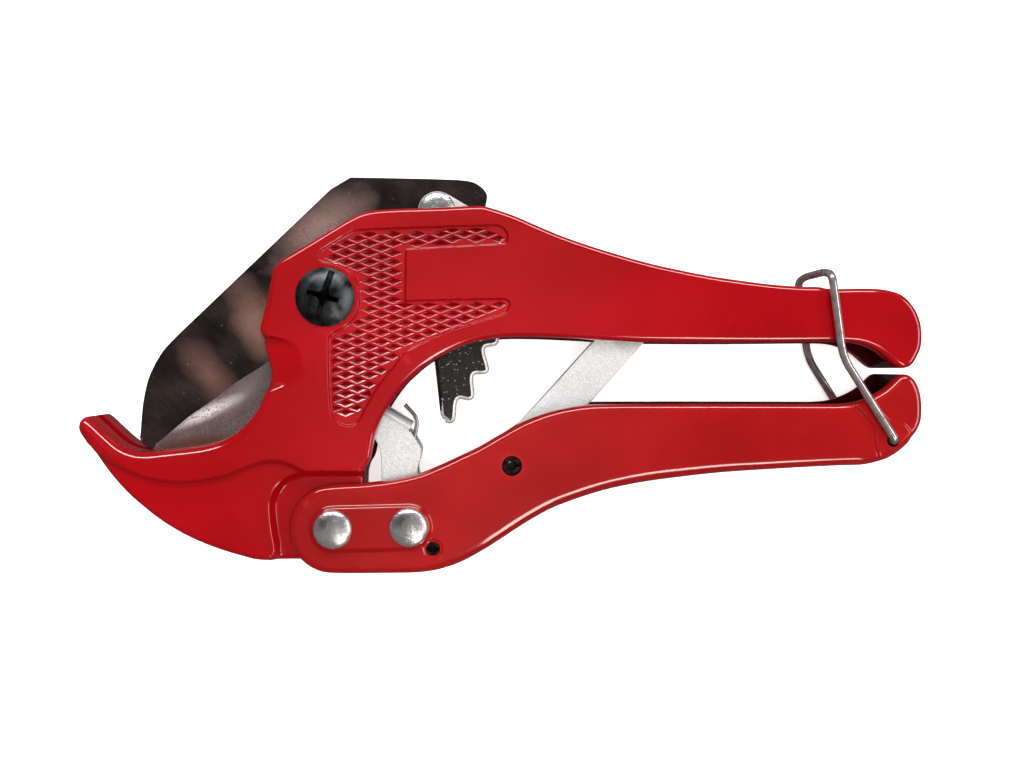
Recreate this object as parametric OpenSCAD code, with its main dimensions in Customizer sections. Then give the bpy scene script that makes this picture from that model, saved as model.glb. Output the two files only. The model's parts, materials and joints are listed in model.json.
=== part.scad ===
// Ratcheting pipe cutter for plastic pipe, lying flat on its far side with the jaws to the left.
// X runs along the handles, Y from the lower handle to the upper one, Z through the thickness.
// The upper handle and jaw casting stands still; the lower handle, blade, links, pawl and latch turn.

/* [Castings] */
// Overall thickness of both castings
body_w = 22; // [18:0.5:28]
// Thickness of each cheek of the jaw casting
cheek_t = 3.5; // [2.5:0.1:5]
// Wall thickness of the lower handle
wall_t = 3; // [2:0.1:4]
// Height of the far face of the castings above the table
lift = 4; // [3:0.5:8]
// Side play of the jaw casting's tongue in the lower handle's fork
fork_play = 0.3; // [0.1:0.05:0.6]
// Radius of the rounded fork around the handle pivot
fork_r = 11; // [9:0.5:13]
// Radius of the tongue around the handle pivot
tongue_r = 7.75; // [6:0.25:9]
// Depth of the sunk grip panel on the near cheek
panel_depth = 0.7; // [0.4:0.1:1.5]
// Depth of the diamond pits in the grip panel
pit_depth = 0.6; // [0.2:0.1:1.2]
// Spacing of the diamond pits along the handle
knurl_x = 5.95; // [3:0.05:8]
// Spacing of the diamond pits across the handle
knurl_y = 2.36; // [1.5:0.02:4]

/* [Blade] */
// Blade thickness
blade_t = 2.4; // [1.5:0.1:4]
// Radius over the ratchet teeth
tooth_tip_r = 45.3; // [40:0.1:46]
// Depth of the ratchet teeth
tooth_depth = 3; // [1.5:0.1:4]
// Angle between ratchet teeth
tooth_pitch = 10.2; // [6:0.1:15]
// Number of ratchet teeth
teeth = 4; // [3:1:6]
// Blade screw shank diameter
screw_d = 8; // [6:0.5:10]
// Blade screw head diameter
screw_head_d = 14.5; // [12:0.5:17]

/* [Links and pawl] */
// Thickness of each blade link plate
link_t = 1.5; // [1:0.1:2]
// Width of the blade link plates
link_w = 10; // [8:0.5:12]
// Width of the link bar
bar_w = 10; // [8:0.5:11]
// Thickness of the link bar
bar_t = 2.8; // [2:0.1:3.5]
// Play of the link bar around the link joint rivet
joint_play = 1.4; // [0.5:0.05:1.6]
// Thickness of the pawl plates
pawl_t = 1.5; // [1:0.1:2]
// Diameter of the rivet shanks
rivet_d = 5; // [4:0.25:6]
// Diameter of the rivet heads
rivet_head_d = 9.7; // [8:0.1:11]
// Diameter of the pawl spring's wire
spring_d = 1; // [0.6:0.1:1.4]

/* [Latch] */
// Diameter of the latch wire
latch_d = 2; // [1.5:0.1:3]
// Distance between the middles of the two latch legs
latch_span = 26; // [25:0.1:28]

/* [Hidden] */
$fn = 48;
z0 = lift;                       // far face of the castings
z1 = lift + body_w;              // near face of the castings
zm = lift + body_w / 2;          // middle plane, where the blade runs
fit = 0.05;                      // radial running clearance of the pins
cavity = body_w - 2 * cheek_t;   // gap between the cheeks
fork_gap = body_w - 2 * wall_t;  // gap between the fork walls
tongue_w = fork_gap - 2 * fork_play;
slot_w = blade_t + 0.6;          // slot in the jaw for the blade

// pivots, in the X-Y plane
screw_p = [-43.75, 19.5];
handle_p = [-41.75, -38.5];
pawl_p = [-22.75, -38];
spring_pin_p = [-16.75, -43.5];
link_pin_p = [3, -22.75];
latch_p = [98.1, -16.3];
tail_p = [-15.8, 42.3];
joint_p = [35.1, 12.9];

link_pin_d = 5;
spring_pin_d = 3.5;
joint_d = 4;
pad_rise = 0.8;                  // height of the pad under the two rivet heads
seat_rise = 0.5;                 // height of the raised faces that the latch legs lie over
sweep_r = 46.6;                  // radius kept clear around the blade screw
leg_z = latch_span / 2;
boss_z = zm + blade_t / 2 + 1;    // inner end of the boss around the blade screw

// ---- helpers -------------------------------------------------------------------------------

// points on an arc from angle a0 to a1
function arc(c, r, a0, a1, n = 10) =
    [for (i = [0:n]) let (a = a0 + (a1 - a0) * i / n) c + r * [cos(a), sin(a)]];

// plate between heights za and zb
module slab(za, zb) { translate([0, 0, za]) linear_extrude(zb - za) children(); }

// round bar standing at p between heights za and zb
module post(p, r, za, zb) { translate([p[0], p[1], za]) cylinder(r = r, h = zb - za); }

// straight bar with round ends between p and q, in the plane
module bar2d(p, q, w) {
    d = q - p;
    translate(p) rotate(atan2(d[1], d[0])) {
        translate([0, -w / 2]) square([norm(d), w]);
        circle(d = w);
        translate([norm(d), 0]) circle(d = w);
    }
}

// domed rivet head of diameter d and height h, rising along +Z
module dome(d, h) {
    r = (d * d / 4 + h * h) / (2 * h);
    intersection() {
        translate([0, 0, h - r]) sphere(r = r, $fn = 64);
        translate([0, 0, 0]) cylinder(d = d, h = h);
    }
}

// both halves of something symmetric about the middle plane
module both() {
    children();
    translate([0, 0, 2 * zm]) mirror([0, 0, 1]) children();
}

// ---- outlines ------------------------------------------------------------------------------

// side view of the jaw and head, without the handle
module head2d() {
    polygon(concat(
        [[8, 37.6], [3, 40], [-1, 41.4], [-4, 42.5], [-17.5, 42.2], [-30, 41.5], [-37.5, 40],
         [-46, 35], [-54.25, 30]],
        arc([-49.4, 22.6], 9.7, 128, 190, 6),       // round shoulder over the blade screw
        [[-60.5, 12.5], [-58.75, 5]],
        arc([-75.6, -0.8], 17, 0, -92, 12),         // throat that the pipe lies in
        [[-82.5, -18.4], [-88.7, -19.2], [-95.5, -17.4], [-103.6, -10.5], [-105, -12.4],
         [-105, -14.8]],
        arc([-63.5, -1.5], 43.2, 202, 224, 6),      // outer sweep of the jaw, in two arcs
        arc([-58.5, 6.5], 52.9, 231, 270, 8),
        arc(handle_p, tongue_r, 268, 360, 10),
        [[-34, -24], [-32, -20], [-31.5, -17.5]],
        arc([-1.5, -19.4], 30, 176, 118, 10),       // hollow edge over the pawl
        [[-8.5, 7.5], [-3.75, 8.75], [0, 9.3], [8, 9.3]]));
}

// side view of the upper handle
module grip2d() {
    polygon(concat(
        [[8, 9.3], [8, 37.6], [21.75, 32.5], [39, 27.5], [51, 25], [67.75, 22.5], [79.6, 22],
         [82, 21.5], [96, 21.5]],
        arc([96, 12.4], 9.1, 84, 0, 8),
        [[104.9, 5.5]],
        arc([100.2, 6.3], 4.6, 0, -100, 6),
        [[97.2, 2.8], [94.3, 5.9], [91, 7.7], [87, 8.2]]));
}

// side view of the lower handle
module lower2d() {
    polygon(concat(
        arc(handle_p, fork_r, 270, 81, 14),
        [[-30, -26.5], [-20, -24.7], [-15, -22.4], [0, -15], [10.25, -10], [20.75, -7.5], [27, -7.2],
         [85, -7.3], [91, -6.2], [96, -3.4], [98.6, -0.9], [101.3, 0.2], [103.6, -1.3]],
        arc([92.3, -9.2], 13, 25, -88, 12),
        [[75, -23.2], [55, -24.5], [35, -27], [20, -30.8], [10, -35], [0, -41.6]],
        arc([-18.3, -32.8], 16.7, -44, -88, 6)));
}

// side view of the blade
module blade2d() {
    polygon(concat(
        [[-38.3, 51.2], [-15.1, 50.7], [-7.3, 50.2], [-4.7, 49.1], [-2.9, 47]],
        arc(screw_p, 45.6, 28, -10, 10),            // tail, concentric with the screw
        [for (i = [0:teeth - 1], k = [0:3]) let (   // long flank, rounded tip, steep back
            a = -14 - i * tooth_pitch + [1.4, -0.6, -1.9, -2.9][k],
            r = tooth_tip_r - [0.4, 0, 1, i == teeth - 1 ? 2.2 : tooth_depth][k])
            screw_p + r * [cos(a), sin(a)]],
        [[-15, -10.3], [-16.5, 3.3], [-29, 8]],
        arc(screw_p, 13, -60, -100, 4),
        [[-57.5, 2.5], [-60.4, -0.9], [-61.5, -5.3], [-64.6, -10.5], [-68.5, -14.4],
         [-73.7, -17], [-80.2, -18.6], [-86.7, -18.8], [-90.6, -17.8], [-92.5, -16.2],
         [-92.5, -14.4], [-92.2, -8.1], [-91.7, -5], [-90.9, -1.9], [-89.9, 1.2], [-88, 4.4],
         [-86, 7.5], [-82.8, 10.6], [-43.5, 48.1]]));
}

// side view of a pawl plate
module pawl2d() {
    polygon(concat(
        arc(pawl_p, 6, 170, 370, 12),
        [[-18.6, -30], [-20.8, -24.2], [-20, -21.4], [-19.8, -18.9], [-21.8, -15.7],
         [-22.3, -12.9], [-32, -7.1], [-34.6, -8.4], [-34, -11.6], [-31.4, -16.6], [-30, -20.6],
         [-30, -26]]));
}

// ---- jaw casting ---------------------------------------------------------------------------

// region of the head that is solid between the cheeks: jaw floor, web and tongue
module web2d() {
    intersection() {
        head2d();
        polygon([[-110, 0], [-75, 0], [-57, -9], [-52, -13], [-37.5, -13], [-36, -24], [-33.9, -24],
                 [-33.9, -50], [-110, -50]]);
    }
}

// whole side view of the casting
module side2d() {
    head2d();
    grip2d();
}

// strip under the top edge of the upper handle
module crown2d() {
    difference() {
        intersection() {
            side2d();
            translate([6, 0]) square([110, 60]);
        }
        translate([0, -2.5]) side2d();
    }
}

// grip pattern of diamond pits, sunk in the panel's floor
module pits() {
    slab(z1 - panel_depth - pit_depth, z1) intersection() {
        intersection_for(d = [[0, 0], [-0.7, 0.7], [0.7, -0.7], [0.7, 0.7], [-0.7, -0.7]])
            translate(d) panel2d();
        for (i = [0:8], j = [0:22], k = [0:1])
            translate([-44.6 + (i + k / 2) * knurl_x, 37.6 - (j + k / 2) * knurl_y])
                polygon([[-knurl_x / 2.5, 0], [0, -knurl_y / 2.5], [knurl_x / 2.5, 0],
                         [0, knurl_y / 2.5]]);
    }
}

// hollow of the grip panel on the near cheek
module panel2d() {
    difference() {
        polygon(concat(
            [[-36.5, 36.4], [-0.5, 37.6], [2.2, 35.4], [1.8, 32.8], [-23.2, 31.3], [-23.5, 18.8],
             [2.2, 19.2], [2.5, 16.4], [-4, 13.5]],
            arc([-1.5, -19.4], 34.2, 108, 170, 8),
            [[-38.2, -12.7], [-42.3, -9], [-42.9, 10], [-41, 11.5]],
            [[-36, 13], [-35, 19.5], [-36, 24.5], [-39.5, 27.6], [-45.2, 28.9]]));
        translate(screw_p) circle(r = 8.6);
    }
}

// relief that the fork of the lower handle turns in
module relief2d() {
    polygon(concat([[-30, -24]], arc([-51, -30.6], 6.6, 90, 180, 6), [[-56.4, -44], [-57, -52],
        [-30, -52]]));
}

// one cheek, near side
module cheek() {
    difference() {
        union() {
            slab(z1 - cheek_t, z1) side2d();
            // end of the handle, raised to keep the latch from slipping off
            slab(z1 - 0.1, z1 + seat_rise) intersection() {
                grip2d();
                polygon([[81.2, 30], [84.4, 0], [110, 0], [110, 30]]);
            }
        }
        // relief for the fork of the lower handle
        slab(zm + tongue_w / 2, z1 + 1) relief2d();
        // hollowed flank under the rim of the jaw
        slab(z1 - 1.2, z1 + 1)
            polygon([[-110, -16], [-103.2, -17.4], [-98, -20.8], [-92.5, -23.7], [-83.8, -26.2],
                     [-75, -25.9], [-65, -23.3], [-57.5, -21.1], [-54, -21.5], [-48, -24.4],
                     [-35, -24.4], [-35, -60], [-110, -60]]);
        // scoop beside the blade screw
        slab(z1 - 1, z1 + 1) polygon([[-62, 10.5], [-51, 8], [-48.4, -1.8], [-51, -3.4], [-62, -4.2]]);
    }
}

module jaw_casting() {
    color("firebrick") difference() {
        union() {
            difference() {
                both() cheek();
                slab(z1 - panel_depth, z1 + 1) panel2d();
                pits();
            }
            // web and jaw floor, thinned to the tongue near the fork
            difference() {
                slab(z0 + cheek_t - 0.1, z1 - cheek_t + 0.1) web2d();
                both() slab(zm + tongue_w / 2, z1) relief2d();
            }
            // crown and end wall of the upper handle
            slab(z0 + cheek_t - 0.1, z1 - cheek_t + 0.1) {
                crown2d();
                intersection() { grip2d(); translate([101, 0]) square([10, 40]); }
            }
            // bosses that guide the blade
            both() post(screw_p, 10, boss_z, z1 - cheek_t + 0.1);
        }
        // slot the blade and its toothed sector run in
        slab(zm - slot_w / 2, zm + slot_w / 2) {
            translate(screw_p) circle(r = sweep_r, $fn = 120);
            intersection() {
                translate([-94.5, -21]) square([40, 30]);
                translate([-74, 6]) circle(r = 27.4);
            }
            polygon([[-102.2, -8], [-102.2, -13.4], [-96.3, -18.6], [-91, -20.7], [-84, -20.8],
                     [-70, -18], [-60, -8]]);
        }
        post(screw_p, screw_d / 2 + fit, z0 - 1, z1 + 1);
        post(handle_p, rivet_d / 2 + fit, z0 - 1, z1 + 1);
    }
}

// ---- lower handle --------------------------------------------------------------------------

module lower_wall() {
    difference() {
        union() {
            slab(z1 - wall_t, z1) lower2d();
            // raised pad under the two rivet heads
            slab(z1 - 0.1, z1 + pad_rise) bar2d(handle_p, pawl_p, rivet_head_d + 1.4);
            // raised boss and strip under the latch leg
            slab(z1 - 0.1, z1 + seat_rise) intersection() {
                lower2d();
                polygon([[88, -4], [93.3, -13], [93.1, -16], [94.4, -20], [96, -24], [104, -18],
                         [103, -14.4], [100.8, -11.8], [97.4, -11.2], [93.4, -6.6], [91.6, -4]]);
            }
        }
        post(latch_p, latch_d / 2 + fit, z0, z1 + 1);
    }
}

module circle_at(p, r) { translate(p) circle(r = r); }

module lower_handle() {
    color("brown") difference() {
        union() {
            both() lower_wall();
            // floor of the channel and end wall
            slab(z0 + wall_t - 0.1, z1 - wall_t + 0.1) difference() {
                lower2d();
                translate([0, 3]) lower2d();
                translate([-3, 2.4]) lower2d();
                circle_at(handle_p, 15.5);
                translate([-60, -60]) square([29, 60]);
            }
        }
        post(handle_p, rivet_d / 2, z0 - 1, z1 + 1);
        post(pawl_p, rivet_d / 2, z0 - 1, z1 + 1);
        post(spring_pin_p, spring_pin_d / 2, z0 - 1, z1 + 1);
        post(link_pin_p, link_pin_d / 2, z0 - 1, z1 + 1);
    }
}

// ---- blade and its pivot -------------------------------------------------------------------

module blade() {
    color("silver") difference() {
        slab(zm - blade_t / 2, zm + blade_t / 2) blade2d();
        post(screw_p, screw_d / 2 + fit, z0, z1);
        post(tail_p, rivet_d / 2 + fit, z0, z1);
        // ground bevel along the cutting edge, one on each face
        both() translate([-71.2, -4.1, zm + blade_t / 2]) rotate([-bevel_a, 0, bevel_dir])
            translate([-13.4, 0, 0]) cube([44, 20, 5]);
    }
}

bevel_a = 5.6;                   // slope of the bevel
bevel_dir = -147.5;              // direction of the bevel's upper line

module blade_screw() {
    color("dimgray") difference() {
        union() {
            post(screw_p, screw_d / 2, z0 - 3.6, z1 + 0.1);
            translate([screw_p[0], screw_p[1], z1]) dome(screw_head_d, 3);
        }
        // driver slot, and the cross recess in the middle of it
        translate([screw_p[0], screw_p[1], z1 + 2.8]) rotate(73) cube([13.4, 1.5, 4], center = true);
        for (a = [73, 163])
            translate([screw_p[0], screw_p[1], z1 + 2.2]) rotate(a) cube([8, 1.9, 4], center = true);
    }
}

module blade_nut() {
    color("dimgray") difference() {
        translate([screw_p[0], screw_p[1], 0]) cylinder(d = 13 / cos(30), h = z0, $fn = 6);
        post(screw_p, screw_d / 2, -1, z0 + 1);
    }
}

module washer_ring(za, zb) {
    difference() {
        post(screw_p, 9, za, zb);
        post(screw_p, screw_d / 2 + fit, za - 1, zb + 1);
    }
}

module blade_washer_near() { color("gold") washer_ring(zm + blade_t / 2 + fit, boss_z); }
module blade_washer_far() { color("gold") washer_ring(2 * zm - boss_z, zm - blade_t / 2 - fit); }

// ---- rivets --------------------------------------------------------------------------------

// rivet through the lower handle with a dome on each pad
module fork_rivet(p) {
    post(p, rivet_d / 2, z0 - pad_rise, z1 + pad_rise);
    both() translate([p[0], p[1], z1 + pad_rise]) dome(rivet_head_d, 1.9);
}

module handle_rivet() { color("gainsboro") fork_rivet(handle_p); }
module pawl_rivet() { color("gainsboro") fork_rivet(pawl_p); }

// rivet through the links with a dome on each outer plate
module link_rivet(p, d, head) {
    post(p, d / 2, zm - bar_t / 2 - 0.1 - link_t, zm + bar_t / 2 + 0.1 + link_t);
    both() translate([p[0], p[1], zm + bar_t / 2 + 0.1 + link_t]) dome(head, 1.6);
}

module tail_rivet() { color("gainsboro") link_rivet(tail_p, rivet_d, 9.5); }
module joint_rivet() { color("gainsboro") link_rivet(joint_p, joint_d, 8); }

// ---- pawl ----------------------------------------------------------------------------------

pawl_gap = 10.6;                 // between the pawl plates
flange_gap = 3.4;                // slot for the toothed sector

module pawl() {
    color("lightgray") difference() {
        union() {
            both() slab(zm + pawl_gap / 2, zm + pawl_gap / 2 + pawl_t) pawl2d();
            // flange folded in along the top edge, open in the middle for the toothed sector
            both() slab(zm + flange_gap / 2, zm + pawl_gap / 2 + 0.1)
                polygon([[-22.3, -12.9], [-32, -7.1], [-32.9, -8.7], [-23.1, -14.5]]);
            // back that joins the two plates
            slab(zm - pawl_gap / 2 - 0.1, zm + pawl_gap / 2 + 0.1)
                polygon([[-30, -25.4], [-30, -27], [-28.9, -33.2], [-27.3, -32.9], [-28.4, -25.4]]);
        }
        post(pawl_p, rivet_d / 2 + fit, z0, z1);
    }
}

module pawl_spacer() {
    color("silver") difference() {
        post(pawl_p, 3.6, zm - pawl_gap / 2 + 0.1, zm + pawl_gap / 2 - 0.1);
        post(pawl_p, rivet_d / 2, z0, z1);
    }
}

// wire spring: coil around the spacer, one arm to the roll pin, the other up inside the pawl
module pawl_spring() {
    coil_r = 3.6 + spring_d / 2 + 0.15;
    up = pawl_p + [coil_r, 0];
    down = pawl_p + [0, -coil_r];
    color("gray") translate([0, 0, zm + 3.7]) {
        translate([pawl_p[0], pawl_p[1], -2.5 * spring_d]) difference() {
            cylinder(r = coil_r + spring_d / 2, h = 3 * spring_d);
            translate([0, 0, -1]) cylinder(r = coil_r - spring_d / 2, h = 9);
            // grooves between the turns
            for (k = [1:2]) translate([0, 0, k * spring_d]) difference() {
                translate([0, 0, -0.12]) cylinder(r = coil_r + 1, h = 0.24);
                translate([0, 0, -0.2]) cylinder(r = coil_r + 0.2, h = 0.4);
            }
        }
        wire(up, [-21.2, -17]);
        wire([-21.2, -17], [-21.1, -11]);
        wire([-21.1, -11], [-24.1, -7.6]);
        translate([0, 0, -2 * spring_d]) wire(down, spring_pin_p + [0, 2.3]);
    }
}

// straight round wire between two points of the plane
module wire(p, q) {
    d = q - p;
    translate([p[0], p[1], 0]) {
        rotate([0, 90, atan2(d[1], d[0])]) cylinder(d = spring_d, h = norm(d), $fn = 16);
        sphere(d = spring_d + 0.04, $fn = 16);
    }
}

// rolled pin with its slit
module roll_pin(p, d, t, za, zb) {
    difference() {
        post(p, d / 2, za, zb);
        post(p, d / 2 - t, za - 1, zb + 1);
        translate([p[0], p[1] - 0.25, za - 1]) cube([d, 0.5, zb - za + 2]);
    }
}

module spring_pin() { color("slategray") roll_pin(spring_pin_p, spring_pin_d, 0.7, z0 + 0.3, z1 - 0.3); }
module link_pin() { color("slategray") roll_pin(link_pin_p, link_pin_d, 1, z0 + 0.2, z1 - 0.2); }

// ---- links ---------------------------------------------------------------------------------

module link_plate() {
    za = zm + bar_t / 2 + 0.1;
    difference() {
        slab(za, za + link_t) bar2d(tail_p, joint_p, link_w);
        post(tail_p, rivet_d / 2, z0, z1);
        post(joint_p, joint_d / 2, z0, z1);
    }
}

module link_plate_near() { color("lightgray") link_plate(); }
module link_plate_far() { color("lightgray") translate([0, 0, 2 * zm]) mirror([0, 0, 1]) link_plate(); }

module link_bar() {
    color("lightgray") difference() {
        slab(zm - bar_t / 2, zm + bar_t / 2) bar2d(joint_p, link_pin_p, bar_w);
        post(joint_p, joint_d / 2 + joint_play, z0, z1);
        post(link_pin_p, link_pin_d / 2 + fit, z0, z1);
    }
}

module link_bush() {
    difference() {
        post(link_pin_p, 4, zm + bar_t / 2 + 0.1, z1 - wall_t);
        post(link_pin_p, link_pin_d / 2, z0, z1);
    }
}

module link_bush_near() { color("silver") link_bush(); }
module link_bush_far() { color("silver") translate([0, 0, 2 * zm]) mirror([0, 0, 1]) link_bush(); }

// ---- latch ---------------------------------------------------------------------------------

knee_p = [85, 4.5];              // bend of the latch leg
apex_p = [82.3, 26];             // where the latch crosses the upper handle

// round wire between two points in space
module rod(a, b) {
    d = b - a;
    l = norm(d);
    translate(a) rotate([0, acos(d[2] / l), atan2(d[1], d[0])]) cylinder(d = latch_d, h = l, $fn = 20);
    translate(b) sphere(d = latch_d + 0.04, $fn = 20);
}

module latch() {
    // half of the wire, from its bent-in end to the middle of the bow
    half = [[latch_p[0], latch_p[1], z1 - wall_t], [latch_p[0], latch_p[1], zm + leg_z],
            [knee_p[0], knee_p[1], zm + leg_z], [apex_p[0], apex_p[1] - 2.6, zm + leg_z],
            [apex_p[0], apex_p[1] - 1.1, zm + leg_z - 0.7],
            [apex_p[0], apex_p[1] - 0.3, zm + leg_z - 3], [apex_p[0], apex_p[1], zm]];
    color("silver") both() for (i = [0:5]) rod(half[i], half[i + 1]);
}

jaw_casting();
lower_handle();
blade();
blade_screw();
blade_nut();
blade_washer_near();
blade_washer_far();
handle_rivet();
pawl_rivet();
pawl();
pawl_spacer();
pawl_spring();
spring_pin();
link_plate_near();
link_plate_far();
tail_rivet();
joint_rivet();
link_bar();
link_pin();
link_bush_near();
link_bush_far();
latch();
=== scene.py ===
import itertools
import json
import math

import bpy
import bmesh
import numpy as np
from mathutils import Matrix, Vector
from mathutils.geometry import delaunay_2d_cdt


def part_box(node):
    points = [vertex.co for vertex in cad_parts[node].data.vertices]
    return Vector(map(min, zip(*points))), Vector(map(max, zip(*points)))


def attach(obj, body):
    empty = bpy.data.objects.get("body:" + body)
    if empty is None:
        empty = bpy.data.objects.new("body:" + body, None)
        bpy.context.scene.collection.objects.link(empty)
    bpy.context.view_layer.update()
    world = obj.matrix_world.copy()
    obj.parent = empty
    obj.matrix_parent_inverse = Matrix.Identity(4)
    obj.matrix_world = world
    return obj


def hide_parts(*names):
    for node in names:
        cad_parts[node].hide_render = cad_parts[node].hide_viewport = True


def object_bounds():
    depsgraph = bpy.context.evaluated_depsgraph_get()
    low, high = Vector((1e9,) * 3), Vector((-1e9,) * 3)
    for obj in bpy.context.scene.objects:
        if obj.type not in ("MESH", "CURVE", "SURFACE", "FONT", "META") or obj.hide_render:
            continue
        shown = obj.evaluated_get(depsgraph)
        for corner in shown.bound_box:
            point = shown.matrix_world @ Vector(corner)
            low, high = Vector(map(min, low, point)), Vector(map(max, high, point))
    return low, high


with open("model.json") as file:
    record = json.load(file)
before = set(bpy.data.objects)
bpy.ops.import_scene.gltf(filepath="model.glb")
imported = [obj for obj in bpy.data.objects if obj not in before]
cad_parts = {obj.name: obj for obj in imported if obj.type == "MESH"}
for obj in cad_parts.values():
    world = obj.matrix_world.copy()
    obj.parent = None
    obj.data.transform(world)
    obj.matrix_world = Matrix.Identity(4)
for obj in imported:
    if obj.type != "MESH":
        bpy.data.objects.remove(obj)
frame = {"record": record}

CAD_BOX = [list(c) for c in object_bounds()]
MM = 0.001

# ---- main dimensions, in millimetres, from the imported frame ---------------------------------


def box_mm(node):
    """The low and high corners of a CAD node."""
    low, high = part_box(node)
    return np.array(low) / MM, np.array(high) / MM


def middle(node):
    """The centre of a CAD node in the X-Y plane."""
    low, high = box_mm(node)
    return (low + high)[:2] / 2


def joint_mm(name):
    """Where a joint's axis crosses the X-Y plane."""
    joint = next(j for j in frame["record"]["behaviour"]["joints"] if j["name"] == name)
    return np.array(joint["pos_m"][:2]) / MM


CAST_LOW, CAST_HIGH = box_mm("jaw_casting")
ZM = (CAST_LOW[2] + CAST_HIGH[2]) / 2
END_HEIGHT = 0.5     # rise of the upper handle's end, and of the faces under the latch legs
HALF = (CAST_HIGH[2] - CAST_LOW[2]) / 2 - END_HEIGHT   # from the middle plane to the flat faces
Z0, Z1 = ZM - HALF, ZM + HALF
SCREW = joint_mm("blade_pivot")
FORK = joint_mm("handle_pivot")
PAWL = joint_mm("drive_pawl_pivot")
LINK_PIN = joint_mm("handle_link_pivot")
TAIL = joint_mm("blade_link_pivot")
LATCH = joint_mm("latch_pivot")
SPRING_PIN = middle("spring_pin")
JOINT = middle("joint_rivet")
EYE = np.array([-12.0, 1.75])   # the point straight under the camera

CHEEK = 3.5          # cheek thickness of the jaw casting
WALL = 3.0           # wall thickness of the lower handle
TONGUE_HALF = 7.7    # half the width of the tongue in the fork
CAST_EDGE = 1.5      # rounding of the jaw casting's edges
BEAK_EDGE = 2.8      # rounding around the beak
LOWER_EDGE = 1.7     # rounding of the lower handle's edges
UNDER_EDGE = 2.8     # rounding of its edges along the palm
PANEL_DEPTH = 0.7    # of the grip panel, below the cheek
PANEL_WALL = 0.42    # width of the slope around it
PIT_DEPTH = 0.95     # of the pits, below the panel
PIT_CHAMFER = 0.13   # drop of the narrow chamfer around each pit
FLANK_DEPTH = 1.3    # of the sunk flank below the jaw
PAD_HEIGHT = 0.8     # rise of the pad under the two rivets
KNURL = np.array([5.95, 2.36])   # spacing of the pits in the grip panel
SCREW_BORE = 4.05    # radius of the holes that the blade's screw passes
RIVET_BORE = 2.55    # radius of the holes that turn on a rivet
SHANK = 2.5          # radius of the rivets' shanks and of the link's pin
JOINT_SHANK = 2.0    # radius of the joint rivet's shank
JOINT_PLAY = 1.4     # play of the link bar around it
LINK_WIDTH = 10      # of the link bar and the link plates

# ---- outlines ------------------------------------------------------------------------------
# Each is one smooth curve through its points, with corners at the points whose third value is 1.

CASTING = [
    (-33.2, 40.8), (-29.9, 41.3), (-24, 41.6), (-14, 41.9), (-5.4, 42.3), (-3.2, 42.0),
    (3, 40.0), (8.8, 37.5), (15, 34.9), (21.8, 32.5), (29.8, 30), (39, 27.5), (51, 25), (60, 23.6),
    (68, 22.6), (75, 22.1), (79.6, 22.0), (81.6, 21.6), (84, 21.5), (90, 21.6), (94.6, 21.5),
    (98, 20.9), (100.6, 19.8), (103, 17.3), (104.4, 14.6), (105.1, 12), (105.25, 9.5),
    (105, 7), (104.2, 4.9), (102.9, 2.7), (101.7, 1.9), (100.3, 1.7), (99, 2.1), (97.6, 3.1),
    (94.8, 5.5), (91.6, 7.2), (88, 8.1), (83, 8.3), (60, 8.1), (40, 8.15), (30, 8.4), (20, 9),
    (10, 9.4), (2, 9.4), (-3.8, 8.7), (-8.5, 7.5), (-14.2, 5), (-18.2, 2.5), (-21.2, 0),
    (-23.8, -2.5), (-25.8, -5), (-27.5, -7.5), (-29, -10), (-30.2, -12.5), (-31.2, -15.2),
    (-31.8, -18.5), (-32.4, -21.2), (-33.6, -23.4), (-34, -26), (-34, -36), (-34.3, -40.4),
    (-36.0, -43.6), (-38.6, -45.6), (-41.8, -46.3), (-50, -46.5), (-60, -46.4), (-65, -45.3),
    (-70, -43.8), (-75, -41.9), (-80, -39.5), (-85, -36.4), (-90, -32.5), (-94, -28.8),
    (-97.5, -24.8), (-100, -21.4), (-102.6, -17.6), (-104.9, -14.9), (-105.5, -13.1),
    (-105.0, -11.3), (-103.5, -10.4), (-101.8, -11.6), (-98.6, -14.6), (-95.4, -17.3),
    (-92, -18.8), (-88.5, -19.2), (-82.5, -18.6), (-75, -17.7), (-70, -16.4), (-66.2, -14.4),
    (-62.6, -11.2), (-60.3, -8.2), (-59.5, -6.2), (-58.7, -4.6), (-57.8, -2.5), (-57.4, -0.2),
    (-57.8, 2.9), (-58.8, 6.2), (-59.1, 8.6), (-59.4, 9.8), (-60.0, 11.4), (-59.7, 12.8),
    (-58.3, 18.6), (-57.2, 24.1), (-56.6, 26.5), (-55.4, 28.1), (-53.9, 29.2), (-47.7, 32.9),
    (-41.5, 36.7), (-36.7, 39.5)]

LOWER = [
    (-41.8, -27.5), (-35, -27.1), (-30, -26.6), (-25, -25.8), (-20, -24.6), (-15, -22.6),
    (-10, -20.3), (-5, -17.9), (0, -15), (5, -12.2), (10.2, -10), (15, -8.6), (20.8, -7.6),
    (27, -7.25), (40, -7.2), (60, -7.2), (80, -7.25), (85, -7.2), (89, -6.7), (92.6, -5.4),
    (95.8, -3.6), (98.2, -1.5), (99.6, -0.2), (101.2, 0.2), (102.6, -0.3), (103.8, -1.7),
    (104.8, -4.2), (105.25, -7.5), (105.1, -11), (104.4, -13.2), (103, -15.6), (101, -18),
    (98.2, -20.1), (95, -21.6), (91, -22.5), (85, -22.7), (75, -23.2), (65, -23.8), (55, -24.5),
    (45, -25.6), (35, -27), (25, -29.2), (15, -32.6), (10, -35), (5, -38), (0, -41.3),
    (-5, -44.4), (-10, -47), (-15, -48.6), (-20, -49.3), (-28, -49.5), (-41.8, -49.5),
    (-45.9, -48.7), (-49.5, -46.3), (-51.9, -42.7), (-52.75, -38.5), (-51.9, -34.3),
    (-49.5, -30.7), (-45.9, -28.3)]

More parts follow.
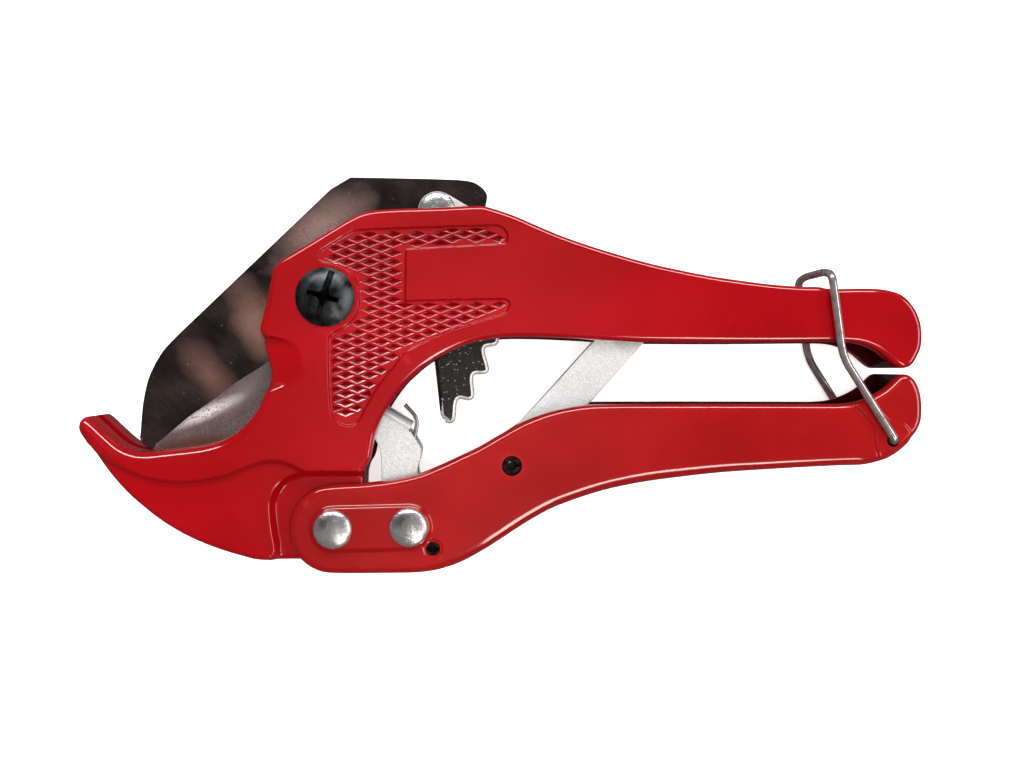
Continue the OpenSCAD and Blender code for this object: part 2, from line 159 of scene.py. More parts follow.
BLADE_TAIL = [
    (-38.3, 51.2, 1), (-25, 50.95), (-15.1, 50.7), (-9, 50.4), (-6.2, 49.8), (-4.2, 48.5),
    (-3, 46.9), (-2.9, 45.6), (-3.2, 44.0, 1)]

BLADE_EDGE = [
    (-53, 4.5), (-57, -1.5), (-59.6, -6.8), (-63.3, -12.1), (-68.0, -15.9), (-73.9, -18.1),
    (-80.3, -19.4), (-86.7, -19.7), (-91.0, -18.8), (-92.8, -16.8), (-92.7, -14.4), (-92.3, -9),
    (-91.7, -5), (-90.7, -1), (-89, 2.8), (-86.6, 6.6), (-82.8, 10.6)]

BEVEL_LINE = [
    (-56, 6, 1), (-60.4, 2.8), (-66.9, -1.3), (-74.4, -6.8), (-79.6, -10.4), (-83.6, -13.7),
    (-88.9, -18.1, 1), (-92, -26, 1), (-56, -26, 1)]

PANEL = [
    (-45.6, 30.4), (-45.0, 31.3), (-37.0, 36.2), (-36.2, 36.5), (-30, 36.8), (-1.5, 37.7),
    (0.8, 37.1), (2.1, 35.2), (1.8, 33.0), (0.9, 32.6, 1),
    (-23.3, 31.3, 1), (-23.5, 18.8, 1), (0.8, 19.3), (2.2, 18.8), (2.6, 17.4), (1.2, 15.2),
    (-3.8, 13.6), (-11.7, 11.2), (-17.5, 8.7), (-23.2, 5.5), (-27, 1.2), (-30, -2.6),
    (-33.2, -8), (-34.8, -11), (-35.8, -12.3), (-37.8, -12.9), (-40.2, -12.3), (-41.9, -10.6),
    (-42.7, -8), (-43.1, 0), (-43.2, 8.0), (-42.8, 9.8), (-41.4, 11.0), (-39.2, 12.1),
    (-36.9, 14.2), (-35.5, 17.2), (-35.3, 20.6), (-36.2, 23.6), (-38.4, 26.1), (-41.0, 27.5),
    (-44.2, 28.1), (-45.6, 29.2)]

FLANK = [
    (-103.2, -17.4), (-101.6, -18.4), (-98, -20.8), (-92.5, -23.7), (-87.5, -25.5),
    (-81, -26.4), (-75, -26), (-69, -24.8), (-64, -22.9), (-60, -21.5), (-57.3, -21.1),
    (-54, -21.5), (-50.6, -23), (-47.6, -24.6, 1), (-44, -24.6), (-44, -60, 1), (-110, -60, 1),
    (-110, -17, 1)]

RELIEF = [
    (-28, -24.0, 1), (-47.9, -24.0), (-51.2, -24.6), (-54.3, -26.0), (-56.6, -28.4),
    (-57.8, -31.2), (-58.1, -34), (-57.6, -39), (-56.9, -43), (-57.0, -45.2), (-57.6, -46),
    (-58.5, -52, 1), (-28, -52, 1)]

SCOOP = [
    (-66, 11.6, 1), (-54, 9.2), (-51.2, 8.2), (-49.7, 6.4), (-48.9, 2.6), (-48.4, -0.4),
    (-49, -2.2), (-51, -3.1), (-55, -3.8), (-59, -4.9), (-66, -6.5, 1)]

END_RISE = [(81.7, 30, 1), (84.0, 0, 1), (120, 0, 1), (120, 30, 1)]

LATCH_SEAT = [
    (88.0, -3, 1), (88.4, -7.3), (93.2, -12.9), (93.3, -15.9), (94.4, -20), (96.4, -23.6, 1),
    (104, -19.5, 1), (103.2, -15.2), (101.9, -12.8), (100.6, -11.9), (98.4, -11.6), (97.1, -11),
    (93.4, -6.6), (91.2, -3, 1)]


def smooth_closed(points, step=0.7):
    """A closed curve through the points, with straight-sided corners where a point is marked."""
    pts = np.array([p[:2] for p in points], float)
    mark = np.array([len(p) > 2 for p in points])
    n, out = len(pts), []
    for i in range(n):
        a, b, c, d = pts[i - 1], pts[i], pts[(i + 1) % n], pts[(i + 2) % n]
        t0 = (c - b) if mark[i] else (c - a) / 2
        t1 = (c - b) if mark[(i + 1) % n] else (d - b) / 2
        span = np.linalg.norm(c - b)
        t0 *= min(1, 1.5 * span / max(np.linalg.norm(t0), 1e-9))
        t1 *= min(1, 1.5 * span / max(np.linalg.norm(t1), 1e-9))
        k = max(1, int(round(span / step)))
        t = (np.arange(k) / k)[:, None]
        out.append((2 * t**3 - 3 * t**2 + 1) * b + (t**3 - 2 * t**2 + t) * t0
                   + (3 * t**2 - 2 * t**3) * c + (t**3 - t**2) * t1)
    return np.concatenate(out)


def until(curve, point):
    """The part of a curve up to its point that is nearest to the one given."""
    return curve[:int(np.linalg.norm(curve - np.array(point[:2]), axis=1).argmin()) + 1]


def dense_outline(outline, step=1.5):
    """A closed line with points added along its long stretches."""
    out = []
    for a, b in zip(outline, np.roll(outline, -1, 0)):
        k = max(1, int(np.linalg.norm(b - a) / step))
        out += [a + (b - a) * j / k for j in range(k)]
    return np.array(out)


def silhouette(curve, grow=1.006):
    """The outline let out a little, since the near edge that shows is rounded off."""
    return EYE + (curve - EYE) * grow


def heading(degrees):
    """A step of length 1 in a direction of the X-Y plane."""
    return np.array([math.cos(math.radians(degrees)), math.sin(math.radians(degrees))])


def arc(centre, r, start, end, n):
    """Points along an arc from one direction to another, in degrees."""
    a = np.radians(np.linspace(start, end, n + 1))
    return np.stack([centre[0] + r * np.cos(a), centre[1] + r * np.sin(a)], 1)


def circle(centre, r, n=64):
    """Points around a full circle."""
    return arc(centre, r, 0, 360, n)[:-1]


def obround(p, q, r, n=20):
    """A bar with round ends about two points."""
    a = math.degrees(math.atan2(q[1] - p[1], q[0] - p[0]))
    return np.concatenate([arc(p, r, a + 90, a + 270, n), arc(q, r, a - 90, a + 90, n)])


def signed_distance(curve, pts):
    """Distance of each point to a closed curve, above 0 inside it."""
    a = curve
    b = np.roll(curve, -1, 0)
    d = b - a
    dd = np.maximum((d * d).sum(1), 1e-12)
    best = np.full(len(pts), 1e9)
    inside = np.zeros(len(pts), bool)
    for i in range(0, len(pts), 4000):
        p = pts[i:i + 4000, None]
        t = np.clip(((p - a) * d).sum(2) / dd, 0, 1)
        best[i:i + 4000] = np.linalg.norm(p - (a + t[..., None] * d), axis=2).min(1)
        y = p[..., 1]
        across = (a[:, 1] > y) != (b[:, 1] > y)
        with np.errstate(divide="ignore", invalid="ignore"):
            x = a[:, 0] + (y - a[:, 1]) * d[:, 0] / np.where(d[:, 1] == 0, 1e-12, d[:, 1])
        inside[i:i + 4000] = (across & (p[..., 0] < x)).sum(1) % 2 == 1
    return np.where(inside, best, -best)


def ring(curve, offset):
    """Points at an offset inside a closed curve, where no other part of it is nearer."""
    t = np.roll(curve, -1, 0) - np.roll(curve, 1, 0)
    t /= np.maximum(np.linalg.norm(t, axis=1), 1e-9)[:, None]
    normal = np.stack([-t[:, 1], t[:, 0]], 1)
    area = (curve[:, 0] * np.roll(curve[:, 1], -1) - curve[:, 1] * np.roll(curve[:, 0], -1)).sum()
    pts = curve + normal * offset * (1 if area > 0 else -1)
    return pts[np.abs(signed_distance(curve, pts) - offset) < 0.04]


def ease(t):
    """A soft step from 0 to 1."""
    t = np.clip(t, 0, 1)
    return t * t * (3 - 2 * t)


def ramp(t, soft=0.2):
    """A straight slope from 0 to 1 with small rounded ends."""
    low, high = np.clip(t + soft, 0, 2 * soft), np.clip(1 + soft - t, 0, 2 * soft)
    f = np.where(t < soft, low**2 / (4 * soft), t)
    return np.where(t > 1 - soft, 1 - high**2 / (4 * soft), f)


def steps(width, soft=0.2):
    """Where a slope of that width needs points."""
    bend = [-1.6 * soft, -soft, -0.4 * soft, 0.4 * soft, soft]
    return [width * t for t in bend + [0.5] + [1 - t for t in reversed(bend)]]


def round_over(inset, r):
    """How far a face drops near an edge rounded to radius r."""
    return r - np.sqrt(np.maximum(r**2 - np.clip(r - inset, 0, r) ** 2, 0))


def flat(p):
    """The depth of a face without relief."""
    return np.zeros(len(p))


# ---- mesh making ---------------------------------------------------------------------------


def piece(node, mesh, body, slot, *mats):
    """A visible piece in the place of a CAD node: it rides the node's body and wears the materials."""
    obj = bpy.data.objects.new(node + "_visual", mesh)
    bpy.context.scene.collection.objects.link(obj)
    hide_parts(node)
    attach(obj, body)
    mesh.materials.clear()
    for mat in mats:
        mesh.materials.append(mat)
    return obj


def mesh_from(name, verts, faces):
    """A mesh from points in millimetres."""
    mesh = bpy.data.meshes.new(name)
    mesh.from_pydata([tuple(v) for v in np.asarray(verts) * MM], [], [tuple(f) for f in faces])
    return mesh


def clean(mesh, sharp=35.0, merge=0.004):
    """Weld, drop slivers, face outwards, and keep only the real edges sharp."""
    bm = bmesh.new()
    bm.from_mesh(mesh)
    bmesh.ops.remove_doubles(bm, verts=bm.verts, dist=merge * MM)
    bmesh.ops.dissolve_degenerate(bm, edges=bm.edges, dist=0.001 * MM)
    bmesh.ops.recalc_face_normals(bm, faces=bm.faces)
    for f in bm.faces:
        f.smooth = True
    for e in bm.edges:
        e.smooth = len(e.link_faces) == 2 and e.calc_face_angle(3.2) < math.radians(sharp)
    bm.to_mesh(mesh)
    bm.free()
    mesh.update()
    return mesh


def relief_points(outline, curves, edge, grid):
    """Points beside the outline and beside each curve, and a coarse grid where neither is near."""
    spread = [ring(outline, t * edge) for t in (0.12, 0.3, 0.5, 0.75, 1)] + [ring(outline, edge + 0.3)]
    spread += [ring(c, s) for c, offsets in curves for s in offsets]
    low, high = outline.min(0), outline.max(0)
    gx, gy = np.meshgrid(np.arange(low[0], high[0], grid), np.arange(low[1], high[1], grid))
    coarse = np.stack([gx.ravel() + 0.013, gy.ravel() + 0.017], 1)
    keep = signed_distance(outline, coarse) > edge + 0.7
    for c, offsets in curves:
        gap = signed_distance(c, coarse)
        keep &= (gap < min(offsets) - 0.6) | (gap > max(offsets) + 0.6)
    pts = np.concatenate(spread + [coarse[keep]])
    return pts[signed_distance(outline, pts) > 0.05]


def relief_slab(name, outline, depth, curves, edge, half, far=None, cells=(), grid=2.6, holes=()):
    """A slab about the middle plane, its faces dropped by depth(points) from +-half, and its edges rounded.

    The far face drops by far(points) where that is given. curves are the closed lines that the relief
    follows, each with the offsets where it needs points, and cells are the pits.
    """
    pts = relief_points(outline, curves, edge, grid)
    for shape, gap in [(np.array(c[:4]), 0.07) for c in cells] + [(h, 0.05) for h in holes]:
        pts = pts[signed_distance(shape, pts) < -gap]
    _, first = np.unique(np.round(pts / 0.045).astype(int), axis=0, return_index=True)
    pts = pts[np.sort(first)]
    verts, edges, count = [], [], 0
    for loop in (outline, *holes):
        edges += [(count + i, count + (i + 1) % len(loop)) for i in range(len(loop))]
        verts.append(loop)
        count += len(loop)
    for c in cells:
        for i in range(4):
            j = (i + 1) % 4
            edges += [(count + a, count + b) for a, b in ((i, j), (i + 4, j + 4), (i, i + 4), (i + 4, 8))]
        verts.append(np.array(c))
        count += 9
    verts.append(pts)
    verts = np.concatenate(verts)
    co, _, tris, *_ = delaunay_2d_cdt([Vector(v) for v in verts], edges, [], 0, 1e-5)
    co = np.array([tuple(c) for c in co])
    tris = np.array([t for t in tris if len(t) == 3])
    mid = co[tris].mean(1)
    ok = signed_distance(outline, mid) > 0
    for h in holes:
        ok &= signed_distance(h, mid) < 0
    tris = tris[ok]
    inset = np.clip(signed_distance(outline, co), 0, None)
    for h in holes:
        inset = np.minimum(inset, np.clip(-signed_distance(h, co), 0, None))
    top = half - round_over(inset, edge)
    n = len(co)
    both = np.concatenate([np.column_stack([co, ZM + top - depth(co)]),
                           np.column_stack([co, ZM - top + (far or depth)(co)])])
    faces = [tuple(t) for t in tris] + [tuple(t[::-1] + n) for t in tris]
    use = {}
    for t in tris:
        for k in range(3):
            e = (int(t[k]), int(t[(k + 1) % 3]))
            use[tuple(sorted(e))] = None if tuple(sorted(e)) in use else e
    faces += [(e[1], e[0], e[0] + n, e[1] + n) for e in use.values() if e]
    return mesh_from(name, both, faces)


def extrude(name, start, end):
    """A closed solid between two rings of as many points."""
    n = len(start)
    faces = [tuple(range(n))[::-1], tuple(range(n, 2 * n))]
    faces += [(i, (i + 1) % n, n + (i + 1) % n, n + i) for i in range(n)]
    mesh = mesh_from(name, np.concatenate([start, end]), faces)
    bm = bmesh.new()
    bm.from_mesh(mesh)
    bmesh.ops.recalc_face_normals(bm, faces=bm.faces)
    bm.to_mesh(mesh)
    bm.free()
    return mesh


def prism(name, outline, za, zb):
    """An upright solid over an outline, from one height to another."""
    return extrude(name, *(np.column_stack([outline, np.full(len(outline), z)]) for z in (za, zb)))


def bore(centre, r, n=40):
    """A cutter for an upright hole right through the tool."""
    return prism("bore", circle(centre, r, n), -5, 40)


def cut(mesh, cutters, operation="DIFFERENCE"):
    """The mesh with each cutter taken away from it, or added."""
    scene = bpy.context.scene
    obj = bpy.data.objects.new("work", mesh)
    scene.collection.objects.link(obj)
    tools = []
    for c in cutters:
        tool = bpy.data.objects.new("tool", c)
        scene.collection.objects.link(tool)
        m = obj.modifiers.new("cut", "BOOLEAN")
        m.operation, m.object, m.solver = operation, tool, "EXACT"
        tools.append(tool)
    bpy.context.view_layer.update()
    done = bpy.data.meshes.new_from_object(obj.evaluated_get(bpy.context.evaluated_depsgraph_get()))
    for o in [obj] + tools:
        bpy.data.objects.remove(o)
    return done


def lathe(name, profile, centre, segments=64):
    """A turned shape from (radius, height) pairs, about an upright axis through the centre."""
    verts, faces = [], []
    m = len(profile)
    for i in range(segments):
        a = 2 * math.pi * i / segments
        verts += [(centre[0] + r * math.cos(a), centre[1] + r * math.sin(a), z) for r, z in profile]
    for i in range(segments):
        j = (i + 1) % segments
        for k in range(m - 1):
            faces.append((i * m + k, j * m + k, j * m + k + 1, i * m + k + 1))
    return clean(mesh_from(name, verts, faces), merge=0.002)


def tube(name, path, r, segments):
    """A round wire along a path of points."""
    path = np.asarray(path, float)
    tangent = np.gradient(path, axis=0)
    tangent /= np.linalg.norm(tangent, axis=1)[:, None]
    side = np.cross(tangent[0], [0.3, 0.2, 1.0])
    verts, faces = [], []
    for p, t in zip(path, tangent):
        side = side - t * side.dot(t)
        side /= np.linalg.norm(side)
        other = np.cross(t, side)
        for k in range(segments):
            a = 2 * math.pi * k / segments
            verts.append(p + r * (math.cos(a) * side + math.sin(a) * other))
    for i in range(len(path) - 1):
        for k in range(segments):
            a, b = i * segments + k, i * segments + (k + 1) % segments
            faces.append((a, b, b + segments, a + segments))
    faces.append(tuple(range(segments))[::-1])
    faces.append(tuple(range(len(verts) - segments, len(verts))))
    return clean(mesh_from(name, verts, faces), 50)


def rounded_path(points, radii, step=0.35):
    """Straight runs joined by round bends, with a radius for each."""
    pts = [np.array(p, float) for p in points]
    out = [pts[0]]
    for a, b, c, r in zip(pts, pts[1:], pts[2:], radii):
        u, v = (a - b) / np.linalg.norm(a - b), (c - b) / np.linalg.norm(c - b)
        r = min(r, 0.49 * np.linalg.norm(a - b), 0.49 * np.linalg.norm(c - b))
        n = max(3, int(2 * r / step))
        for t in np.linspace(0, 1, n + 1):
            out.append((1 - t) ** 2 * (b + u * r) + 2 * t * (1 - t) * b + t**2 * (b + v * r))
    out.append(pts[-1])
    dense = [out[0]]
    for p in out[1:]:
        gap = np.linalg.norm(p - dense[-1])
        k = max(1, int(gap / 2.0))
        dense += [dense[-1] + (p - dense[-1]) * j / k for j in range(1, k + 1)]
    return np.array(dense)


# ---- materials -----------------------------------------------------------------------------


def rgb(r, g, b):
    """A display colour, 0 to 255, as the linear colour that a shader takes."""
    return tuple(((c / 255 + 0.055) / 1.055) ** 2.4 if c > 10 else c / 255 / 12.92 for c in (r, g, b)) + (1,)


BLADE_REFLECTIONS = [   # centre, half sizes and turn of the painted reflections on the blade, and their colour
    ((-75, 0), (5, 11), 38, rgb(176, 126, 116)), ((-62, 13), (6.5, 12), 33, rgb(222, 168, 152)),
    ((-46, 38), (7, 15), -50, rgb(236, 192, 182))]
RIVET_REFLECTIONS = [   # the same for a rivet, from its centre: a painted dark reflection and a painted bright highlight
    ((-2.0, 1.9), (3.0, 1.7), 38, rgb(128, 112, 112)), ((1.3, -1.2), (1.0, 3.0), 12, rgb(255, 255, 255))]


class Nodes:
    """A material being built: its shader, and short ways to add nodes to it."""

    def __init__(self, name, **values):
        self.mat = bpy.data.materials.new(name)
        self.mat.use_nodes = True
        self.tree = self.mat.node_tree
        self.shader = self.tree.nodes["Principled BSDF"]
        for key, value in values.items():
            self.shader.inputs[key.replace("_", " ")].default_value = value
        self.place = self.add("ShaderNodeTexCoord").outputs["Object"]

    def add(self, kind, links=(), **values):
        """A node with its settings, and its inputs linked or given a value."""
        node = self.tree.nodes.new(kind)
        for key, value in values.items():
            setattr(node, key, value)
        for key, source in dict(links).items():
            if hasattr(source, "node"):
                self.tree.links.new(source, node.inputs[key])
            else:
                node.inputs[key].default_value = source
        return node

    def stretch(self, scale, turn=0.0):
        """Object position, turned about Z and scaled along each axis, in units of 1/mm."""
        turned = self.add("ShaderNodeMapping", {"Vector": self.place, "Rotation": (0, 0, math.radians(turn))})
        scale = tuple(s / MM for s in (scale if hasattr(scale, "__len__") else [scale] * 3))
        return self.add("ShaderNodeMapping", {"Vector": turned.outputs[0], "Scale": scale}).outputs[0]

    def noise(self, scale, turn=0.0, detail=3.0, rough=0.5):
        """Cloudy noise from 0 to 1."""
        links = {"Vector": self.stretch(scale, turn), "Scale": 1.0, "Detail": detail, "Roughness": rough}
        return self.add("ShaderNodeTexNoise", links).outputs["Fac"]

    def flecks(self, scale):
        """Distance to the nearest of many scattered points."""
        links = {"Vector": self.stretch(scale), "Scale": 1.0}
        return self.add("ShaderNodeTexVoronoi", links).outputs["Distance"]

    def rims(self):
        """Above 0.5 along outward edges."""
        return self.add("ShaderNodeNewGeometry").outputs["Pointiness"]

    def spot(self, centre, size, turn, ragged):
        """A soft oval patch about a point of the X-Y plane, with a ragged rim."""
        place = (centre[0] * MM, centre[1] * MM, 0)
        moved = self.add("ShaderNodeVectorMath", {0: self.place, 1: place}, operation="SUBTRACT")
        turned = self.add("ShaderNodeMapping", {
            "Vector": moved.outputs[0], "Rotation": (0, 0, math.radians(-turn)), "Scale": (1, 1, 0)})
        scale = (1 / size[0] / MM, 1 / size[1] / MM, 0)
        scaled = self.add("ShaderNodeMapping", {"Vector": turned.outputs[0], "Scale": scale})
        far = self.add("ShaderNodeVectorMath", {0: scaled.outputs[0]}, operation="LENGTH").outputs["Value"]
        return self.ramp(self.combine("ADD", far, self.ramp(ragged, 0.2, 0.8, -0.4, 0.4)), 0.25, 1.15, 0.8, 0)

    def ramp(self, source, low, high, a, b):
        """A value that goes from a to b as the source goes from low to high."""
        links = {"Value": source, "From Min": low, "From Max": high, "To Min": a, "To Max": b}
        return self.add("ShaderNodeMapRange", links).outputs["Result"]

    def mix(self, fac, a, b):
        """A colour between a and b."""
        return self.add("ShaderNodeMix", {0: fac, 6: a, 7: b}, data_type="RGBA").outputs[2]

    def combine(self, operation, a, b):
        """Two values added or multiplied."""
        return self.add("ShaderNodeMath", {0: a, 1: b}, operation=operation).outputs[0]

    def bump(self, height, strength, distance_mm, under=None):
        """A normal bent by a height, over the bump under it if there is one."""
        links = {"Height": height, "Strength": strength, "Distance": distance_mm * MM}
        if under is not None:
            links["Normal"] = under
        return self.add("ShaderNodeBump", links).outputs["Normal"]

    def finish(self, colour, roughness=None, normal=None, metallic=None):
        """The material, once its shader has its patterns."""
        inputs = {"Base Color": colour, "Roughness": roughness, "Normal": normal, "Metallic": metallic}
        for key, source in inputs.items():
            if source is not None:
                self.tree.links.new(source, self.shader.inputs[key])
        return self.mat


def enamel(name, main, deep, nib_and_rim_highlight, pucker=0.0):
    """Thick glossy enamel on a casting: slow waves, faint orange peel, a few dust nibs, fine scuffs and a
    painted highlight along outward edges.
    """
    n = Nodes(name, Specular_IOR_Level=0.12, Coat_Weight=1.0, Coat_Roughness=0.07, Coat_IOR=1.6)
    slow = n.noise((0.03, 0.045, 0.045), detail=3)
    colour = n.mix(n.ramp(slow, 0.35, 0.65, 0, 1), main, deep)
    # painted highlight: outward edges shade towards the pale tone
    colour = n.mix(n.ramp(n.rims(), 0.51, 0.58, 0, 0.35), colour, nib_and_rim_highlight)
    speck = n.ramp(n.flecks(0.16), 0.02, 0.035, 1, 0)
    colour = n.mix(n.combine("MULTIPLY", speck, 0.5), colour, nib_and_rim_highlight)
    scuff = n.noise(0.3, detail=5, rough=0.6)
    peel = n.bump(n.noise(0.9, detail=2), 0.05, 0.04)
    if pucker:
        peel = n.bump(n.noise(2.2, detail=3, rough=0.6), pucker, 0.2, peel)
    wave = n.bump(n.noise(0.12, detail=2), 0.12, 0.2, peel)
    return n.finish(colour, n.ramp(scuff, 0.4, 0.75, 0.18, 0.28), n.bump(speck, 0.5, 0.05, wave))


def blade_steel():
    """Polished plate: slanting grinding marks, dark tones, lighter painted reflections and a few specks."""
    n = Nodes("polished_blade", Metallic=0.8)
    line = n.noise((5.0, 0.16, 1.0), turn=-48, detail=4, rough=0.65)
    haze = n.noise((0.07, 0.1, 0.07), detail=4, rough=0.6)
    colour = n.mix(n.ramp(haze, 0.35, 0.68, 0, 1), rgb(32, 28, 28), rgb(74, 60, 57))
    # painted reflections: lighter pinkish patches across the plate
    for centre, size, turn, tone in BLADE_REFLECTIONS:
        colour = n.mix(n.spot(centre, size, turn, haze), colour, tone)
    colour = n.mix(n.ramp(line, 0.38, 0.72, 0, 0.07), colour, rgb(196, 186, 184))
    colour = n.mix(n.ramp(n.flecks(0.35), 0.035, 0.06, 0.8, 0), colour, rgb(226, 220, 218))
    return n.finish(colour, n.ramp(haze, 0.3, 0.7, 0.2, 0.34), n.bump(line, 0.03, 0.02))


def sector_steel():
    """Unpolished steel of the toothed sector: near black, gritty, with bright specks."""
    n = Nodes("sector_steel", Metallic=0.7)
    grit = n.noise(2.2, detail=6, rough=0.8)
    colour = n.mix(n.ramp(grit, 0.36, 0.66, 0, 1), rgb(30, 29, 30), rgb(78, 74, 74))
    speck = n.combine("MULTIPLY", n.ramp(n.flecks(0.9), 0.12, 0.2, 1, 0), grit)
    colour = n.mix(speck, colour, rgb(240, 236, 234))
    return n.finish(colour, n.ramp(grit, 0.3, 0.7, 0.35, 0.6), n.bump(grit, 0.4, 0.06))


def blade_bevel():
    """Ground bevel: frosted, finely speckled, with a paler sweep, a bright scuff and a trace of rust."""
    n = Nodes("ground_bevel")
    grain = n.noise(3.5, detail=6, rough=0.75)
    broad = n.noise((0.12, 0.2, 0.1), turn=-35, detail=3)
    colour = n.mix(n.ramp(grain, 0.38, 0.62, 0, 1), rgb(104, 92, 90), rgb(186, 174, 172))
    colour = n.mix(n.ramp(broad, 0.35, 0.7, 0, 0.6), colour, rgb(128, 104, 98))
    torn = n.noise(1.5, detail=6, rough=0.75)
    colour = n.mix(n.spot((-66, -5.0), (9, 3.2), 40, torn), colour, rgb(176, 162, 160))
    scuff = n.spot((-75.3, -9.7), (11, 2.0), 25, torn)
    scuff = n.combine("MULTIPLY", scuff, n.ramp(torn, 0.42, 0.5, 0, 1.25))
    colour = n.mix(scuff, colour, rgb(208, 205, 204))
    colour = n.mix(n.spot((-78, -17.4), (10, 1.5), 6, torn), colour, rgb(150, 100, 80))
    return n.finish(colour, n.ramp(grain, 0.3, 0.7, 0.4, 0.6), n.bump(grain, 0.3, 0.06),
                    n.ramp(scuff, 0, 1, 0.85, 0.1))


def zinc(name, dark, pale, rim=0.3):
    """Bright zinc plate: pale, slightly grainy, with drawn lines and painted shade on its rims."""
    n = Nodes(name, Metallic=0.3)
    grain = n.noise(2.4, detail=6, rough=0.8)
    line = n.noise((0.3, 3.0, 1.0), turn=40, detail=3)
    colour = n.mix(n.ramp(grain, 0.4, 0.66, 0, 1), dark, pale)
    colour = n.mix(n.ramp(line, 0.4, 0.7, 0, 0.3), colour, dark)
    # painted shade: outward edges darken towards grey
    colour = n.mix(n.ramp(n.rims(), 0.52, 0.58, 0, rim), colour, rgb(104, 100, 98))
    return n.finish(colour, n.ramp(grain, 0.35, 0.7, 0.28, 0.46), n.bump(grain, 0.22, 0.05))


def nickel(name, tone, rough, metallic, reflections=()):
    """Bright plated steel with scratches both ways and a few dings, and painted darker or brighter
    reflections.
    """
    n = Nodes(name, Metallic=metallic)
    one = n.noise((5.0, 0.4, 1.0), turn=25, detail=4, rough=0.7)
    two = n.noise((5.0, 0.5, 1.0), turn=115, detail=4, rough=0.7)
    ding = n.noise(0.9, detail=5, rough=0.7)
    wear = n.ramp(n.combine("MULTIPLY", one, two), 0.2, 0.42, 0, 1)
    dark = tuple(c * 0.62 for c in tone[:3]) + (1,)
    colour = n.mix(wear, tone, dark)
    # painted reflections: patches of darker or brighter colour
    for centre, size, turn, patch in reflections:
        colour = n.mix(n.spot(centre, size, turn, ding), colour, patch)
    return n.finish(colour, n.ramp(ding, 0.35, 0.72, rough * 0.7, rough * 1.9),
                    n.bump(n.combine("ADD", wear, ding), 0.3, 0.08))


def drawn_wire(name, pale, dark):
    """Drawn wire: bright and lightly marked."""
    n = Nodes(name, Metallic=0.8)
    mark = n.noise(0.5, detail=4, rough=0.6)
    colour = n.mix(n.ramp(mark, 0.4, 0.7, 0, 1), pale, dark)
    return n.finish(colour, n.ramp(mark, 0.35, 0.7, 0.16, 0.3), n.bump(mark, 0.03, 0.02))


def black_oxide(name, dark, pale):
    """Black oxide: satin, worn grey here and there."""
    n = Nodes(name, Metallic=0.9)
    worn = n.noise(0.3, detail=6, rough=0.6)
    colour = n.mix(n.ramp(worn, 0.42, 0.72, 0, 1), dark, pale)
    return n.finish(colour, n.ramp(worn, 0.35, 0.7, 0.24, 0.42), n.bump(n.noise(3.0), 0.15, 0.04))


def dark_steel():
    """Oiled spring steel of the rolled pins."""
    n = Nodes("dark_steel", Metallic=1.0)
    worn = n.noise(1.2, detail=5, rough=0.7)
    colour = n.mix(n.ramp(worn, 0.4, 0.7, 0, 1), rgb(40, 34, 34), rgb(104, 96, 94))
    return n.finish(colour, n.ramp(worn, 0.35, 0.7, 0.25, 0.45), n.bump(worn, 0.15, 0.04))


def bronze():
    """Tarnished bronze of the blade's washers."""
    n = Nodes("bronze", Metallic=1.0)
    tarnish = n.noise(0.6, detail=5, rough=0.7)
    colour = n.mix(n.ramp(tarnish, 0.4, 0.7, 0, 1), rgb(190, 150, 90), rgb(120, 88, 52))
    return n.finish(colour, n.ramp(tarnish, 0.35, 0.7, 0.28, 0.5))


def floor_material():
    """Matt, nearly white paper that glows a little, so that it stays clear white around the tool."""
    n = Nodes("pale_floor", Roughness=0.7, Specular_IOR_Level=0.2,
              Emission_Color=(1, 1, 1, 1), Emission_Strength=0.6)
    return n.finish(n.mix(n.noise(0.01), (0.90, 0.90, 0.90, 1), (0.93, 0.93, 0.93, 1)))


# the third colour of each enamel is the pale tone of its dust nibs and of its painted edge highlight
RED = enamel("enamel_red", rgb(152, 5, 15), rgb(137, 4, 10), rgb(182, 24, 36))
LOWER_RED = enamel("enamel_lower", rgb(149, 15, 16), rgb(132, 11, 12), rgb(176, 34, 36))
STEEL = blade_steel()
BEVEL = blade_bevel()
GRIT = sector_steel()
# the sector's rounded rim: polished steel, and a painted highlight, pale and half matt so that it lights up
# white
RIM_HIGHLIGHT = nickel("polished_rim_highlight", rgb(228, 224, 222), 0.22, 0.45)
ZINC = zinc("zinc_plate", rgb(182, 182, 181), rgb(232, 232, 231))
# painted light: paler than the plate zinc to make up for the shade the bar sits in, with strong painted shade
# on its rims
BRIGHTENED_BAR_ZINC = zinc("zinc_bar_brightened", rgb(206, 206, 206), rgb(252, 252, 251), 0.75)
# painted reflections on the handle and pawl rivets: dark up and left, bright down and right
RIVET = nickel("nickel_rivet", rgb(222, 220, 221), 0.17, 0.85, [
    (centre + np.array(offset), *mark) for centre in (FORK, PAWL) for offset, *mark in RIVET_REFLECTIONS])
WIRE = drawn_wire("stainless_wire", rgb(206, 196, 196), rgb(150, 138, 138))
SPRING = drawn_wire("spring_wire", rgb(186, 176, 176), rgb(100, 90, 90))
# painted shade: the grip's pits are darker than the cheek
PIT_SHADE = enamel("enamel_pit_shade", rgb(130, 3, 11), rgb(104, 2, 8), rgb(206, 70, 74), 0.5)
# painted highlight: the grip's ridges are lighter than the cheek, with pink edges
RIDGE_HIGHLIGHT = enamel("enamel_ridge_highlight", rgb(160, 10, 20), rgb(140, 6, 14), rgb(232, 120, 124), 0.25)
# painted shade: the faces inside the hollow castings are dark brown-red
INSIDE_SHADE = enamel("enamel_inside_shade", rgb(74, 8, 10), rgb(50, 6, 8), rgb(96, 22, 24))
BLACK = black_oxide("black_oxide", rgb(44, 46, 48), rgb(92, 96, 98))
# painted shade: the screw's cross recess is near black
RECESS_SHADE = black_oxide("recess_shade_black", rgb(12, 11, 11), rgb(44, 42, 42))
DARK = dark_steel()
BRONZE = bronze()

# ---- castings ------------------------------------------------------------------------------


